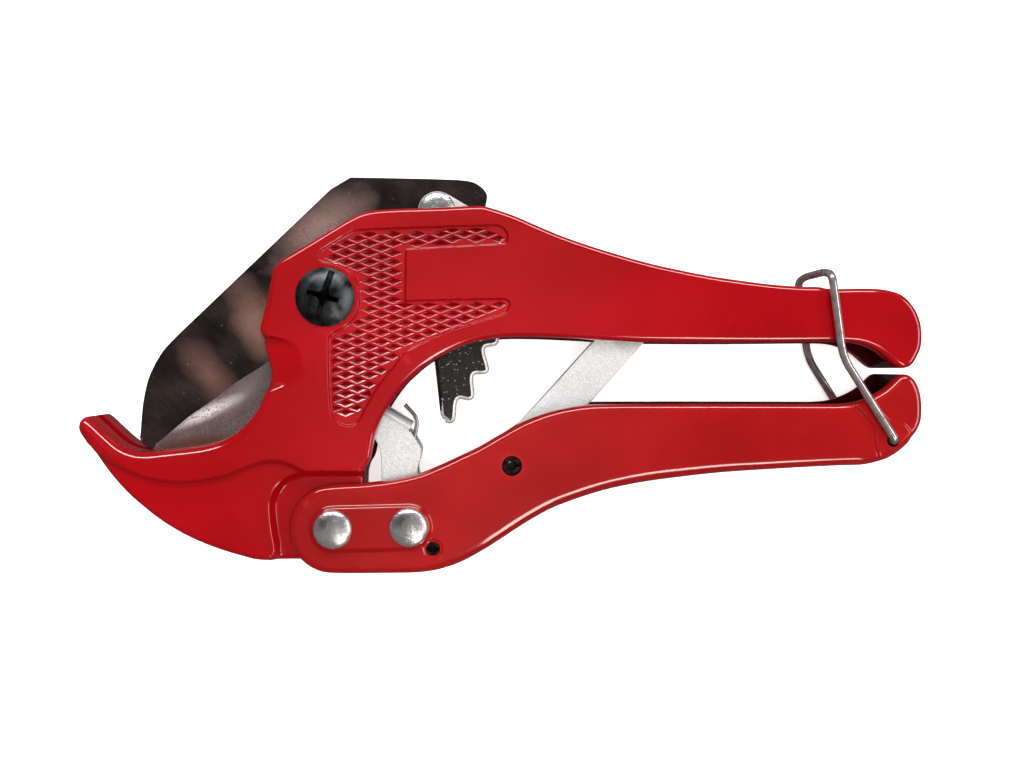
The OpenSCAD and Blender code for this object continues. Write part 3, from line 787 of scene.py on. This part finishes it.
HOLLOW = [   # room for the blade, links and pawl between the cheeks
    (-70, 12), (-70, 62), (2, 62), (3.5, 36.4), (9, 33.9), (22, 29.4), (30, 26.9), (39, 24.4),
    (51, 21.9), (68, 19.4), (84, 18.4), (95, 18.3), (98.5, 17.2), (100.8, 14.9), (101.4, 11.9),
    (101.2, 8), (100, 4), (99, -4), (20, -4), (-20, -10), (-28, -22.5), (-36.2, -22.5),
    (-37.4, -13), (-52, -12.6), (-56.6, -9), (-66, -4)]
GROOVE = [   # the groove along the beak that takes the blade's edge
    (-101.6, 4), (-104.2, -11.6), (-103.6, -13.2), (-97.6, -17.8), (-92, -21.0), (-84, -21.5),
    (-76, -20.5), (-69, -17.9), (-63.5, -13.2), (-58, -6), (-54, 4)]
CHANNEL = [   # the lower handle's channel, from its fork to its end and back along the open side
    (-25, -46.4), (-15.5, -45.6), (-10.5, -44), (-5.5, -41.4), (0, -38), (5, -34.8), (10, -32),
    (15, -29.6), (25, -26.2), (35, -24), (45, -22.6), (55, -21.5), (65, -20.8), (75, -20.2),
    (85, -19.7), (91, -19.5), (95, -18.4), (98.4, -16), (100.8, -12.6), (102, -8.6), (101.8, -5),
    (100.5, 8), (-30, 8)]
BLADE_SLOT = 1.5     # half width of the slot that the blade swings in
EDGE_GROOVE = 2.2    # half width of the groove along the beak


def pits(panel):
    """The grip pattern: diamond pits between flat ridges, cut short at the panel's edge.

    Each pit is its four corners, the same four at the foot of its chamfer, and its deepest point.
    """
    rim = 0.455 * KNURL
    cells = []
    for i, j, k in itertools.product(range(11), range(24), (0, 0.5)):
        c = np.array([-44.6 + (i + k) * KNURL[0], 37.6 - (j + k) * KNURL[1]])
        if signed_distance(panel, c[None])[0] < 1.0:
            continue
        corners = []
        for u in ((-1, 0), (0, -1), (1, 0), (0, 1)):
            for t in np.linspace(1, 0.15, 35):
                p = c + t * rim * u
                if signed_distance(panel, p[None])[0] > 0.62:
                    break
            corners.append(p)
        centre = (c + np.mean(corners, 0)) / 2
        deep = centre + 0.2 * (corners[3] - centre) + 0.06 * (corners[0] - centre)
        cells.append(corners + [deep + 0.8 * (p - deep) for p in corners] + [deep])
    return cells


def paint_inside_shade(obj, outline, reach):
    """The second material, a painted shade, on the faces inside a hollow casting and away from its outline.
    """
    centres = np.array([tuple(p.center) for p in obj.data.polygons]) / MM
    inner = (np.abs(centres[:, 2] - ZM) < reach + 0.05) & (signed_distance(outline, centres[:, :2]) > 0.9)
    for p, i in zip(obj.data.polygons, inner):
        p.material_index = int(i)


def jaw_casting():
    """Jaw, beak and upper handle: two cheeks with sunk flanks, a tongue in the fork and a grip panel."""
    outline = silhouette(smooth_closed(CASTING))
    panel, flank, relief = smooth_closed(PANEL, 0.6), smooth_closed(FLANK), smooth_closed(RELIEF)
    scoop, end = smooth_closed(SCOOP), smooth_closed(END_RISE, 2)
    cells = pits(panel)
    pit = {tuple(np.round(p, 3)): PIT_CHAMFER for c in cells for p in c[4:8]}
    pit.update({tuple(np.round(c[8], 3)): PIT_DEPTH for c in cells})

    def far_depth(p):
        """The flanks, the scoop, the raised end, the beak's rounder edge and the tongue."""
        x, y = p.T
        slope = 0.9 + 1.5 * ease((3 - y) / 4) + 2.2 * ease((x + 55) / 4)
        hollow = (1.6 - 1.35 * ease((x + 59) / 9.5)) * ease(signed_distance(scoop, p) / slope)
        s = signed_distance(flank, p)
        d = np.maximum(FLANK_DEPTH * ramp(s / 1.1), hollow)
        d = d - END_HEIGHT * ramp(signed_distance(end, p) / 0.8, 0.35)
        inset = np.clip(signed_distance(outline, p), 0, None)
        beak = ease((-60 - x) / 8) * ease(-s / 2.2)
        d = d + beak * (round_over(inset, BEAK_EDGE) - round_over(inset, CAST_EDGE))
        s = signed_distance(relief, p)
        return d + (HALF - TONGUE_HALF - d) * ramp(s / 1.6, 0.16)

    def depth(p):
        """The same, with the grip panel and its pits."""
        d = np.maximum(far_depth(p), PANEL_DEPTH * ramp(signed_distance(panel, p) / PANEL_WALL))
        return d + np.array([pit.get(tuple(k), 0) for k in np.round(p, 3)])

    curves = [
        (outline, [2.1, 2.5, 2.9]), (panel, steps(PANEL_WALL)), (flank, [-0.5] + steps(1.1)),
        (scoop, [-0.3, 0, 0.25, 0.5, 0.75, 1.0, 1.4, 1.8, 2.2, 2.6, 3.2, 3.8, 4.6]),
        (end, steps(0.8, 0.35)), (relief, steps(1.6, 0.16))]
    mesh = relief_slab("jaw_casting", outline, depth, curves, CAST_EDGE, HALF, far_depth, cells)
    cutters = [prism("hollow", np.array(HOLLOW), Z0 + CHEEK, Z1 - CHEEK)]
    swing = np.concatenate([arc(SCREW, 46.6, -62, -165, 36), [SCREW]])   # room for the blade's swing
    for shape, half in ((swing, BLADE_SLOT), (np.array(GROOVE), EDGE_GROOVE)):
        cutters.append(prism("slot", shape, ZM - half, ZM + half))
    boss = [(SCREW_BORE, 2.2), (9.6, 2.2), (10, 2.6), (10, 7.7), (SCREW_BORE, 7.7), (SCREW_BORE, 2.2)]
    bosses = [lathe("boss", [(r, ZM + s * z) for r, z in boss], SCREW) for s in (-1, 1)]
    mesh = cut(cut(mesh, cutters), bosses, "UNION")
    mesh = cut(mesh, [bore(SCREW, SCREW_BORE, 64), bore(FORK, RIVET_BORE, 64)])
    obj = piece("jaw_casting", clean(mesh, 32), "jaw_body", "red_enamel", RED, INSIDE_SHADE, PIT_SHADE, RIDGE_HIGHLIGHT)
    paint_inside_shade(obj, outline, HALF - CHEEK)
    sunk = [p for p in obj.data.polygons if p.center.z / MM > Z1 - PANEL_DEPTH - PIT_DEPTH - 0.1]
    inside = signed_distance(panel, np.array([p.center[:2] for p in sunk]) / MM) > 0.5
    # painted shade: pit faces take the darker enamel; painted highlight: ridge faces take the lighter one
    shaded_pit, lit_ridge = 2, 3
    for p in itertools.compress(sunk, inside):
        p.material_index = shaded_pit if p.center.z / MM < Z1 - PANEL_DEPTH - PIT_CHAMFER else lit_ridge


def lower_handle():
    """Lower handle: a channel with a fork around the jaw's tongue, and a raised pad under two rivets."""
    outline = silhouette(smooth_closed(LOWER))
    pad = dense_outline(obround(FORK, PAWL, 5.9), 0.6)
    seat = smooth_closed(LATCH_SEAT, 0.6)
    dish = circle(SPRING_PIN, 2.7, 40)

    def depth(p):
        """The palm's rounder edge, the dish around the spring's pin, the rivets' pad and the latch's seat."""
        x, y = p.T
        inset = np.clip(signed_distance(outline, p), 0, None)
        centre_line = np.interp(x, [-50, -20, 0, 20, 40, 105], [-38, -37, -28, -19, -16.5, -13])
        under = ease((centre_line - y) / 4)
        d = under * ease((x + 22) / 14) * (round_over(inset, UNDER_EDGE) - round_over(inset, LOWER_EDGE))
        d = d + 0.35 * ease(signed_distance(dish, p) / 0.6)
        return d - np.maximum(PAD_HEIGHT * ramp(signed_distance(pad, p) / 0.9, 0.3),
                              END_HEIGHT * ramp(signed_distance(seat, p) / 0.5, 0.35))

    curves = [(outline, [2.1, 2.5, 2.9]), (pad, steps(0.9, 0.3)), (seat, steps(0.5, 0.35)),
              (dish, [-0.1, 0, 0.3, 0.6])]
    mesh = relief_slab("lower_handle", outline, depth, curves, LOWER_EDGE, HALF)
    channel = np.concatenate([arc(FORK, 15.5, 55, -48, 24), CHANNEL])
    fork = np.array([(-60, 8), (-20, 8), (-24, -20), (-25.2, -38), (-25.2, -60), (-60, -60)])
    # the far wall's edge is lower beside the pawl
    top_edge = np.array([p for p in LOWER if -42 < p[0] < 12 and p[1] > -28])
    low_edge = silhouette(top_edge, grow=1 + 0.085 * ease((14 - top_edge[:, :1]) / 14))
    lowered = np.concatenate([low_edge, [(12, 8), (-42, 8)]])
    cutters = [prism("channel", channel, Z0 + WALL, Z1 - WALL), prism("fork", fork, Z0 + WALL, Z1 - WALL),
               prism("lowered", lowered, Z0 - 1, Z0 + WALL + 0.5)]
    for p, r in ((FORK, SHANK), (PAWL, SHANK), (SPRING_PIN, 1.75), (LINK_PIN, SHANK), (LATCH, 1.6)):
        cutters.append(bore(p, r))
    mesh = clean(cut(mesh, cutters), 32)
    obj = piece("lower_handle", mesh, "handle_body", "lower_enamel", LOWER_RED, INSIDE_SHADE)
    paint_inside_shade(obj, outline, HALF - WALL)


# ---- blade ---------------------------------------------------------------------------------

FIRST_TOOTH = -14.0   # direction of the first tooth from the screw, in degrees
TOOTH_PITCH = 10.2    # from tooth to tooth, in degrees
TIP_RADIUS = 45.3     # of the teeth, from the screw
TOOTH = [   # angle, and drop from the tip radius, from one side of a tooth to the other
    (3.2, 1.5), (1.5, 0.5), (0.7, 0.1), (-0.2, 0.0), (-1.0, 0.25), (-1.7, 0.8), (-2.3, 1.8),
    (-2.8, 2.7), (-3.4, 3.0), (-4.2, 2.9), (-5.6, 2.35)]


def blade():
    """One plate: the cutting edge with its ground bevel, the toothed sector and the tail."""
    low, high = box_mm("blade")
    half = (high[2] - low[2]) / 2
    teeth = []
    for i in range(4):
        for turn, drop in TOOTH:
            if (i == 3 and turn < -2.5) or (i == 0 and turn > 1):
                continue
            teeth.append(SCREW + (TIP_RADIUS - drop) * heading(FIRST_TOOTH - TOOTH_PITCH * i + turn))
    for _ in range(2):   # round every tip and root off
        a, b = np.array(teeth[:-1]), np.array(teeth[1:])
        teeth = [teeth[0], *np.stack([0.75 * a + 0.25 * b, 0.25 * a + 0.75 * b], 1).reshape(-1, 2), teeth[-1]]
    tail = smooth_closed(BLADE_TAIL + [(-30, 40, 1)], 0.8)
    edge = smooth_closed([(*BLADE_EDGE[0], 1)] + BLADE_EDGE[1:-1] + [(*BLADE_EDGE[-1], 1)], 0.8)
    outline = np.concatenate([
        until(tail, BLADE_TAIL[-1]), arc(SCREW, 45.6, 31, -11, 40), np.array(teeth),
        [(-13.6, -11.9), (-14.5, -11.3), (-15, -10.3), (-16.5, 3.3), (-17.4, 5), (-29, 8)],
        arc(SCREW, 13, -50, -105, 8), until(edge, BLADE_EDGE[-1]), [BLADE_EDGE[-1], (-43.5, 48.1)]])
    apart = np.linalg.norm(outline - np.roll(outline, 1, 0), axis=1) > 0.12
    outline = dense_outline(outline[apart], 1.0)
    line = smooth_closed(BEVEL_LINE, 0.8)
    holes = [circle(SCREW, SCREW_BORE), circle(TAIL, RIVET_BORE, 40)]

    def depth(p):
        """The ground bevel, and the rounded rim of the toothed sector."""
        x, y = p.T
        inset = np.clip(signed_distance(outline, p), 0, None)
        sector = ease((x + 24) / 4) * ease((16 - y) / 4)
        d = np.minimum(0.118 * np.clip(signed_distance(line, p), 0, None), half - 0.12 - 0.04)
        return d + sector * round_over(inset, 1.12)

    curves = [(line, [-0.12, 0.0, 0.12, 1.0, 2.5, 4.5, 7]),
              (outline, [0.1, 0.22, 0.36, 0.52, 0.7, 0.9, 1.12, 1.35])]
    mesh = clean(relief_slab("blade", outline, depth, curves, 0.12, half, grid=2.2, holes=holes), 20)
    piece("blade", mesh, "blade_body", "blade_steel", STEEL, BEVEL, RIM_HIGHLIGHT, GRIT)
    steel, bevel, rim, grit = range(4)
    centres = np.array([p.center[:2] for p in mesh.polygons]) / MM
    owners = {}
    for p, inside, (x, y) in zip(mesh.polygons, signed_distance(line, centres), centres):
        if inside > 0.02 and abs(p.normal.z) > 0.5:
            p.material_index = bevel
        elif x > -22 and y < 12:
            side = steel if x < -14.6 and y > -9.5 else rim
            p.material_index = grit if abs(p.normal.z) > 0.985 else side
        for e in p.edge_keys:
            owners.setdefault(e, set()).add(p.material_index == bevel)
    for e in mesh.edges:
        e.use_edge_sharp = e.use_edge_sharp or len(owners[tuple(sorted(e.vertices))]) > 1


# ---- fastenings ----------------------------------------------------------------------------


def rivet(node, centre, body, shank=SHANK, rise=1.6):
    """Domed rivet: a full-radius dome with a thin rolled edge, the same at both ends."""
    low, high = box_mm(node)
    radius = (high[0] - low[0]) / 2
    base = high[2] - rise
    dome = [(radius * 0.985 * math.cos(a), base + 0.45 + (rise - 0.45) * math.sin(a))
            for a in np.radians(np.linspace(0, 90, 14))]
    dome[-1] = (0.0001, high[2])
    upper = [(shank, base), (radius - 0.25, base), (radius, base + 0.2)] + dome
    lower = [(r, 2 * ZM - z) for r, z in reversed(upper)]
    piece(node, lathe(node, lower + upper, centre, 72), body, "rivet_nickel", RIVET)


SCREW_RECESS = [   # direction, length and half width of each arm, its depth at the middle and end
    (74, 6.7, 0.85, 1.7, 2.75), (254, 6.1, 0.7, 1.9, 2.3),
    (164, 4.4, 0.62, 2.9, 2.9), (344, 3.7, 0.62, 2.9, 2.9)]


def blade_screw():
    """Truss-head screw with a worn cross recess."""
    low, high = box_mm("blade_screw")
    r, h = (high[0] - low[0]) / 2 + 0.15, 3.0
    base, top = high[2] - h, high[2]
    ball = (r * r + (h - 0.5) ** 2) / (2 * (h - 0.5))
    dome = [(r * s, top - ball + math.sqrt(ball**2 - (r * s) ** 2)) for s in np.linspace(1, 0.0, 22)]
    dome[-1] = (0.001, top)
    shank = [(0.001, low[2]), (3.5, low[2]), (4, low[2] + 0.5), (4, base), (r - 0.3, base), (r, base + 0.25)]
    mesh = lathe("screw", shank + dome, SCREW, 96)
    wings = []
    for turn, arm, wide, deep, end_deep in SCREW_RECESS:
        u, v = heading(turn), heading(turn + 90)
        square = ((0, -1), (1, -1), (1, 1), (0, 1))
        floor = [(*(SCREW + a * arm * u + b * v * wide * 0.85), top - (end_deep if a else deep))
                 for a, b in square]
        mouth = [(*(SCREW + a * (arm + 0.1) * u + b * v * (wide + 0.05)), top + 0.6) for a, b in square]
        wings.append(extrude("wing", floor, mouth))
    star = [SCREW + size * heading(a) for a, size in zip(range(28, 388, 45), (1.5, 2.7) * 4)]
    wings.append(prism("star", np.array(star), top - 3.0, top + 0.6))
    mesh = clean(cut(mesh, wings), 40)
    obj = piece("blade_screw", mesh, "jaw_body", "black_oxide", BLACK, RECESS_SHADE)
    soft = obj.modifiers.new("soft edges", "BEVEL")
    soft.width = 0.12 * MM
    soft.segments = 2
    soft.limit_method = "ANGLE"
    soft.angle_limit = math.radians(40)
    for p in mesh.polygons:
        x, y, z = np.array(p.center) / MM
        dome_z = top - ball + math.sqrt(max(0.0, ball**2 - (x - SCREW[0]) ** 2 - (y - SCREW[1]) ** 2))
        sunk = base - 0.05 < z < dome_z - 0.15 and math.hypot(x - SCREW[0], y - SCREW[1]) < 7.0
        # painted shade: the recess's walls and deepest floors take the near-black material
        p.material_index = int(sunk and -0.3 < p.normal.z and (p.normal.z < 0.6 or z < top - 2.85))


def nut():
    """Hexagon nut with its outer face turned off at the corners."""
    low, high = box_mm("blade_nut")
    across = (high[1] - low[1]) / 2
    hexagon = circle(SCREW, across / math.cos(math.pi / 6), 6)
    crown = lathe("crown", [(0.01, -3), (across * 0.93, -0.02), (across * 1.19, 1.25),
                            (across * 1.19, high[2]), (0.01, high[2])], SCREW, 72)
    mesh = cut(prism("nut", hexagon, low[2], high[2]), [crown], "INTERSECT")
    mesh = clean(cut(mesh, [bore(SCREW, 4.0, 64)]), 30)
    piece("blade_nut", mesh, "jaw_body", "black_oxide", BLACK)


def roll_pin(node, centre, wall, body):
    """Rolled sheet pin with chamfered ends and an open seam."""
    low, high = box_mm(node)
    r = (high[0] - low[0]) / 2
    profile = [(r - wall, low[2]), (r - 0.3, low[2]), (r, low[2] + 0.5), (r, high[2] - 0.5),
               (r - 0.3, high[2]), (r - wall, high[2]), (r - wall, low[2])]
    mesh = lathe(node, profile, centre, 48)
    seam = centre + np.array([(0.3, -0.22), (r + 1, -0.22), (r + 1, 0.22), (0.3, 0.22)])
    mesh = clean(cut(mesh, [prism("seam", seam, -5, 40)]), 30)
    piece(node, mesh, body, "pin_steel", DARK)


# ---- pawl, links, springs, latch -----------------------------------------------------------


def pawl():
    """Folded zinc-plated stamping: two plates, a rounded flange along the top and a back."""
    low, high = box_mm("pawl")
    outer = (high[2] - low[2]) / 2
    thick = 1.5
    side = smooth_closed([
        (-28.6, -36.2), (-28.1, -40.6), (-25.6, -43.3), (-22, -44), (-18.6, -42.6), (-16.9, -39.6),
        (-17.2, -35), (-19, -29.5), (-20.7, -24.6), (-20.1, -21.6), (-19.8, -18.9), (-21.6, -15.8),
        (-22.6, -14.3, 1), (-23.16, -14.41, 1), (-32.86, -8.51, 1), (-34.2, -9.6), (-34.0, -11.6),
        (-31.6, -16.3), (-30.6, -18.2), (-30, -21), (-29.9, -26.5), (-29.4, -31)], 0.6)
    parts = []
    hole = circle(PAWL, RIVET_BORE, 36)
    plate = relief_slab("plate", side, flat, [], 0.18, thick / 2, grid=1.6, holes=[hole])
    for s in (-1, 1):
        moved = plate.copy()
        moved.transform(Matrix.Translation((0, 0, s * (outer - thick / 2) * MM)))
        parts.append(moved)
    # flange halves, with a rounded fold, and the back
    start, end, fold = np.array([-21.9, -12.4]), np.array([-31.6, -6.5]), 2.4
    u = (end - start) / np.linalg.norm(end - start)
    v = np.array([u[1], -u[0]])
    bend = [(-fold + fold * math.sin(t), outer - fold + fold * math.cos(t))
            for t in np.radians(np.linspace(0, 90, 10))]
    profile = [(-fold - 0.3, outer - 0.02), *bend[1:], (0, 1.7), (-1.5, 1.7), (-1.5, outer - fold),
               (-fold, outer - 1.6), (-fold - 0.3, outer - 1.5)]
    for s in (-1, 1):
        ends = [[(*(base + d * v), ZM + s * z) for d, z in profile]
                for base in (start + 0.1 * u, end - 0.1 * u)]
        parts.append(extrude("flange", *ends))
    back = np.array([(-30, -25.2), (-29.85, -27), (-28.9, -33.2), (-27.3, -32.9), (-28.3, -25.2)])
    parts.append(prism("back", back, ZM - outer + 1, ZM + outer - 1))
    mesh = clean(cut(parts[0], parts[1:], "UNION"), 30)
    piece("pawl", mesh, "drive_pawl", "zinc_plate", ZINC)


def flat_link(node, body, mat, ends):
    """A flat bar with round ends, and a hole of a given radius at each end."""
    low, high = box_mm(node)
    half, mid = (high[2] - low[2]) / 2, (high[2] + low[2]) / 2
    (start, _), (end, _) = ends
    outline = dense_outline(obround(start, end, LINK_WIDTH / 2, 18))
    holes = [circle(centre, r, 40) for centre, r in ends]
    mesh = relief_slab(node, outline, flat, [], min(0.3, half * 0.4), half, grid=3, holes=holes)
    for v in mesh.vertices:
        v.co.z += (mid - ZM) * MM
    piece(node, clean(mesh, 30), body, "zinc_plate", mat)


def pawl_spring():
    """Bent wire: an arm up to the pawl's flange, turns around the pawl's rivet and a hook on its pin."""
    low, high = box_mm("pawl_spring")
    wire, r = 0.55, 4.25
    z = high[2] - wire
    turns = [(PAWL[0] + r * math.cos(-a), PAWL[1] + r * math.sin(-a), z - 0.9 * a / (2 * math.pi))
             for a in np.linspace(0, 2 * math.pi * 2.25, 110)]
    arm = [(PAWL[0] + r, PAWL[1]), (-22.3, -19), (-20.7, -11.3), (-24.1, -7.6)]
    up = rounded_path([(x, y, z) for x, y in arm], [3, 2.2])
    hook = [(*(SPRING_PIN + offset), turns[-1][2]) for offset in ((-1, 2.1), (2, 2.2))]
    down = rounded_path([turns[-1]] + hook, [0.6])
    path = np.array(list(up[::-1]) + turns[1:] + list(down[1:]))
    piece("pawl_spring", tube("spring", path, wire, 12), "handle_body", "spring_wire", SPRING)


def latch():
    """Wire bail: two legs through the lower handle's end and an arch over the upper handle's."""
    low, high = box_mm("latch")
    reach = (high[2] - low[2]) / 2 - 1.0
    knee, top = (85.0, 4.5), (82.3, 24.3)
    wall_z = HALF - WALL
    half = [(LATCH[0], LATCH[1], wall_z), (LATCH[0], LATCH[1], reach), (knee[0], knee[1], reach),
            (top[0], top[1] + 0.7, reach), (top[0], top[1] + 1.75, 7.5)]
    points = [(x, y, ZM + z) for x, y, z in half] + [(x, y, ZM - z) for x, y, z in reversed(half)]
    path = rounded_path(points, [1.4, 3.4, 2.4, 8, 8, 2.4, 3.4, 1.4])
    piece("latch", tube("latch", path, 1.0, 18), "latch_body", "stainless_wire", WIRE)


def turned(node, body, centre, hole, slot, mat, soft=0.25):
    """A washer, spacer or bush with softened rims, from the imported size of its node."""
    low, high = box_mm(node)
    r, za, zb = (high[0] - low[0]) / 2, low[2], high[2]
    soft = min(soft, 0.3 * (zb - za))
    bend = 0.3 * soft
    profile = [(hole + soft, za), (r - soft, za), (r - bend, za + bend), (r, za + soft), (r, zb - soft),
               (r - bend, zb - bend), (r - soft, zb), (hole + soft, zb), (hole, zb - soft),
               (hole, za + soft), (hole + soft, za)]
    piece(node, lathe(node, profile, centre), body, slot, mat)


# ---- stage ---------------------------------------------------------------------------------


WORLD_LIGHT = 0.055
FLOOR_HALF = 3000   # half the floor's width, in millimetres
LIGHTS = {   # watts, size, place, colour, seen in gloss: the space straight above the tool reflects dark
    "overhead diffuser": (9.0, (0.9, 0.4), (-0.012, 0.0, 1.0), (1.0, 1.0, 1.0), False),
    "upper strip": (8.0, (1.1, 0.16), (-0.05, 0.78, 0.52), (1.0, 1.0, 1.0), True),
    "right softbox": (4.0, (0.8, 0.3), (0.86, 0.02, 0.70), (1.0, 0.99, 0.97), True),
    "left fill": (0.7, (0.7, 0.4), (-0.85, 0.0, 0.50), (1.0, 0.96, 0.93), False),
    "lower strip": (2.6, (0.12, 0.6), (0.33, -0.58, 0.78), (1.0, 0.90, 0.82), True)}


def area_light(name, energy, size, place, colour, gloss, aim=(0, 0, 0.01)):
    """A rectangular lamp aimed at the tool."""
    data = bpy.data.lights.new(name, "AREA")
    data.shape = "RECTANGLE"
    data.energy = energy
    data.size, data.size_y = size
    data.color = colour
    obj = bpy.data.objects.new(name, data)
    obj.location = place
    obj.rotation_euler = (Vector(aim) - Vector(place)).to_track_quat("-Z", "Y").to_euler()
    obj.visible_glossy = gloss
    bpy.context.scene.collection.objects.link(obj)


def stage():
    """Pale floor, faint sky and studio lamps."""
    corners = [(x * FLOOR_HALF, y * FLOOR_HALF, 0) for x, y in ((-1, -1), (1, -1), (1, 1), (-1, 1))]
    mesh = mesh_from("floor", corners, [(0, 1, 2, 3)])
    floor = bpy.data.objects.new("floor", mesh)
    floor.location.z = CAD_BOX[0][2] - 0.0002
    bpy.context.scene.collection.objects.link(floor)
    floor.data.materials.append(floor_material())
    floor.visible_glossy = False
    world = bpy.data.worlds.new("studio")
    world.use_nodes = True
    sky = world.node_tree.nodes["Background"]
    sky.inputs["Color"].default_value = (1.0, 0.97, 0.95, 1)
    sky.inputs["Strength"].default_value = WORLD_LIGHT
    bpy.context.scene.world = world
    for name, settings in LIGHTS.items():
        area_light(name, *settings)
    bpy.context.scene.view_settings.view_transform = "Standard"


CAMERA_TO_FACE = 265   # from the lens down to the near faces of the castings


def camera():
    """Straight above the tool, looking down, with the frame shifted as a view camera's back is."""
    data = bpy.data.cameras.new("camera")
    data.sensor_fit = "HORIZONTAL"
    data.sensor_width = 36.0
    data.lens = 37.27
    data.shift_x = 0.0586
    data.shift_y = -0.0156
    data.clip_start = 0.01
    data.clip_end = 20
    obj = bpy.data.objects.new("camera", data)
    obj.location = (EYE[0] * MM, EYE[1] * MM, (Z1 + CAMERA_TO_FACE) * MM)
    bpy.context.scene.collection.objects.link(obj)
    bpy.context.scene.camera = obj


camera()
stage()
jaw_casting()
lower_handle()
blade()
blade_screw()
nut()
rivet("handle_rivet", FORK, "handle_body", rise=1.9)
rivet("pawl_rivet", PAWL, "handle_body", rise=1.9)
rivet("tail_rivet", TAIL, "blade_link")
rivet("joint_rivet", JOINT, "blade_link", JOINT_SHANK)
roll_pin("spring_pin", SPRING_PIN, 0.6, "handle_body")
roll_pin("link_pin", LINK_PIN, 1.3, "handle_body")
pawl()
pawl_spring()
latch()
flat_link("link_bar", "handle_link", BRIGHTENED_BAR_ZINC, [(JOINT, JOINT_SHANK + JOINT_PLAY), (LINK_PIN, RIVET_BORE)])
turned("pawl_spacer", "handle_body", PAWL, SHANK, "zinc_plate", ZINC)
for side in ("near", "far"):
    flat_link(f"link_plate_{side}", "blade_link", ZINC, [(TAIL, SHANK), (JOINT, JOINT_SHANK)])
    turned(f"blade_washer_{side}", "jaw_body", SCREW, SCREW_BORE, "bronze", BRONZE, 0.15)
    turned(f"link_bush_{side}", "handle_body", LINK_PIN, SHANK, "zinc_plate", ZINC)
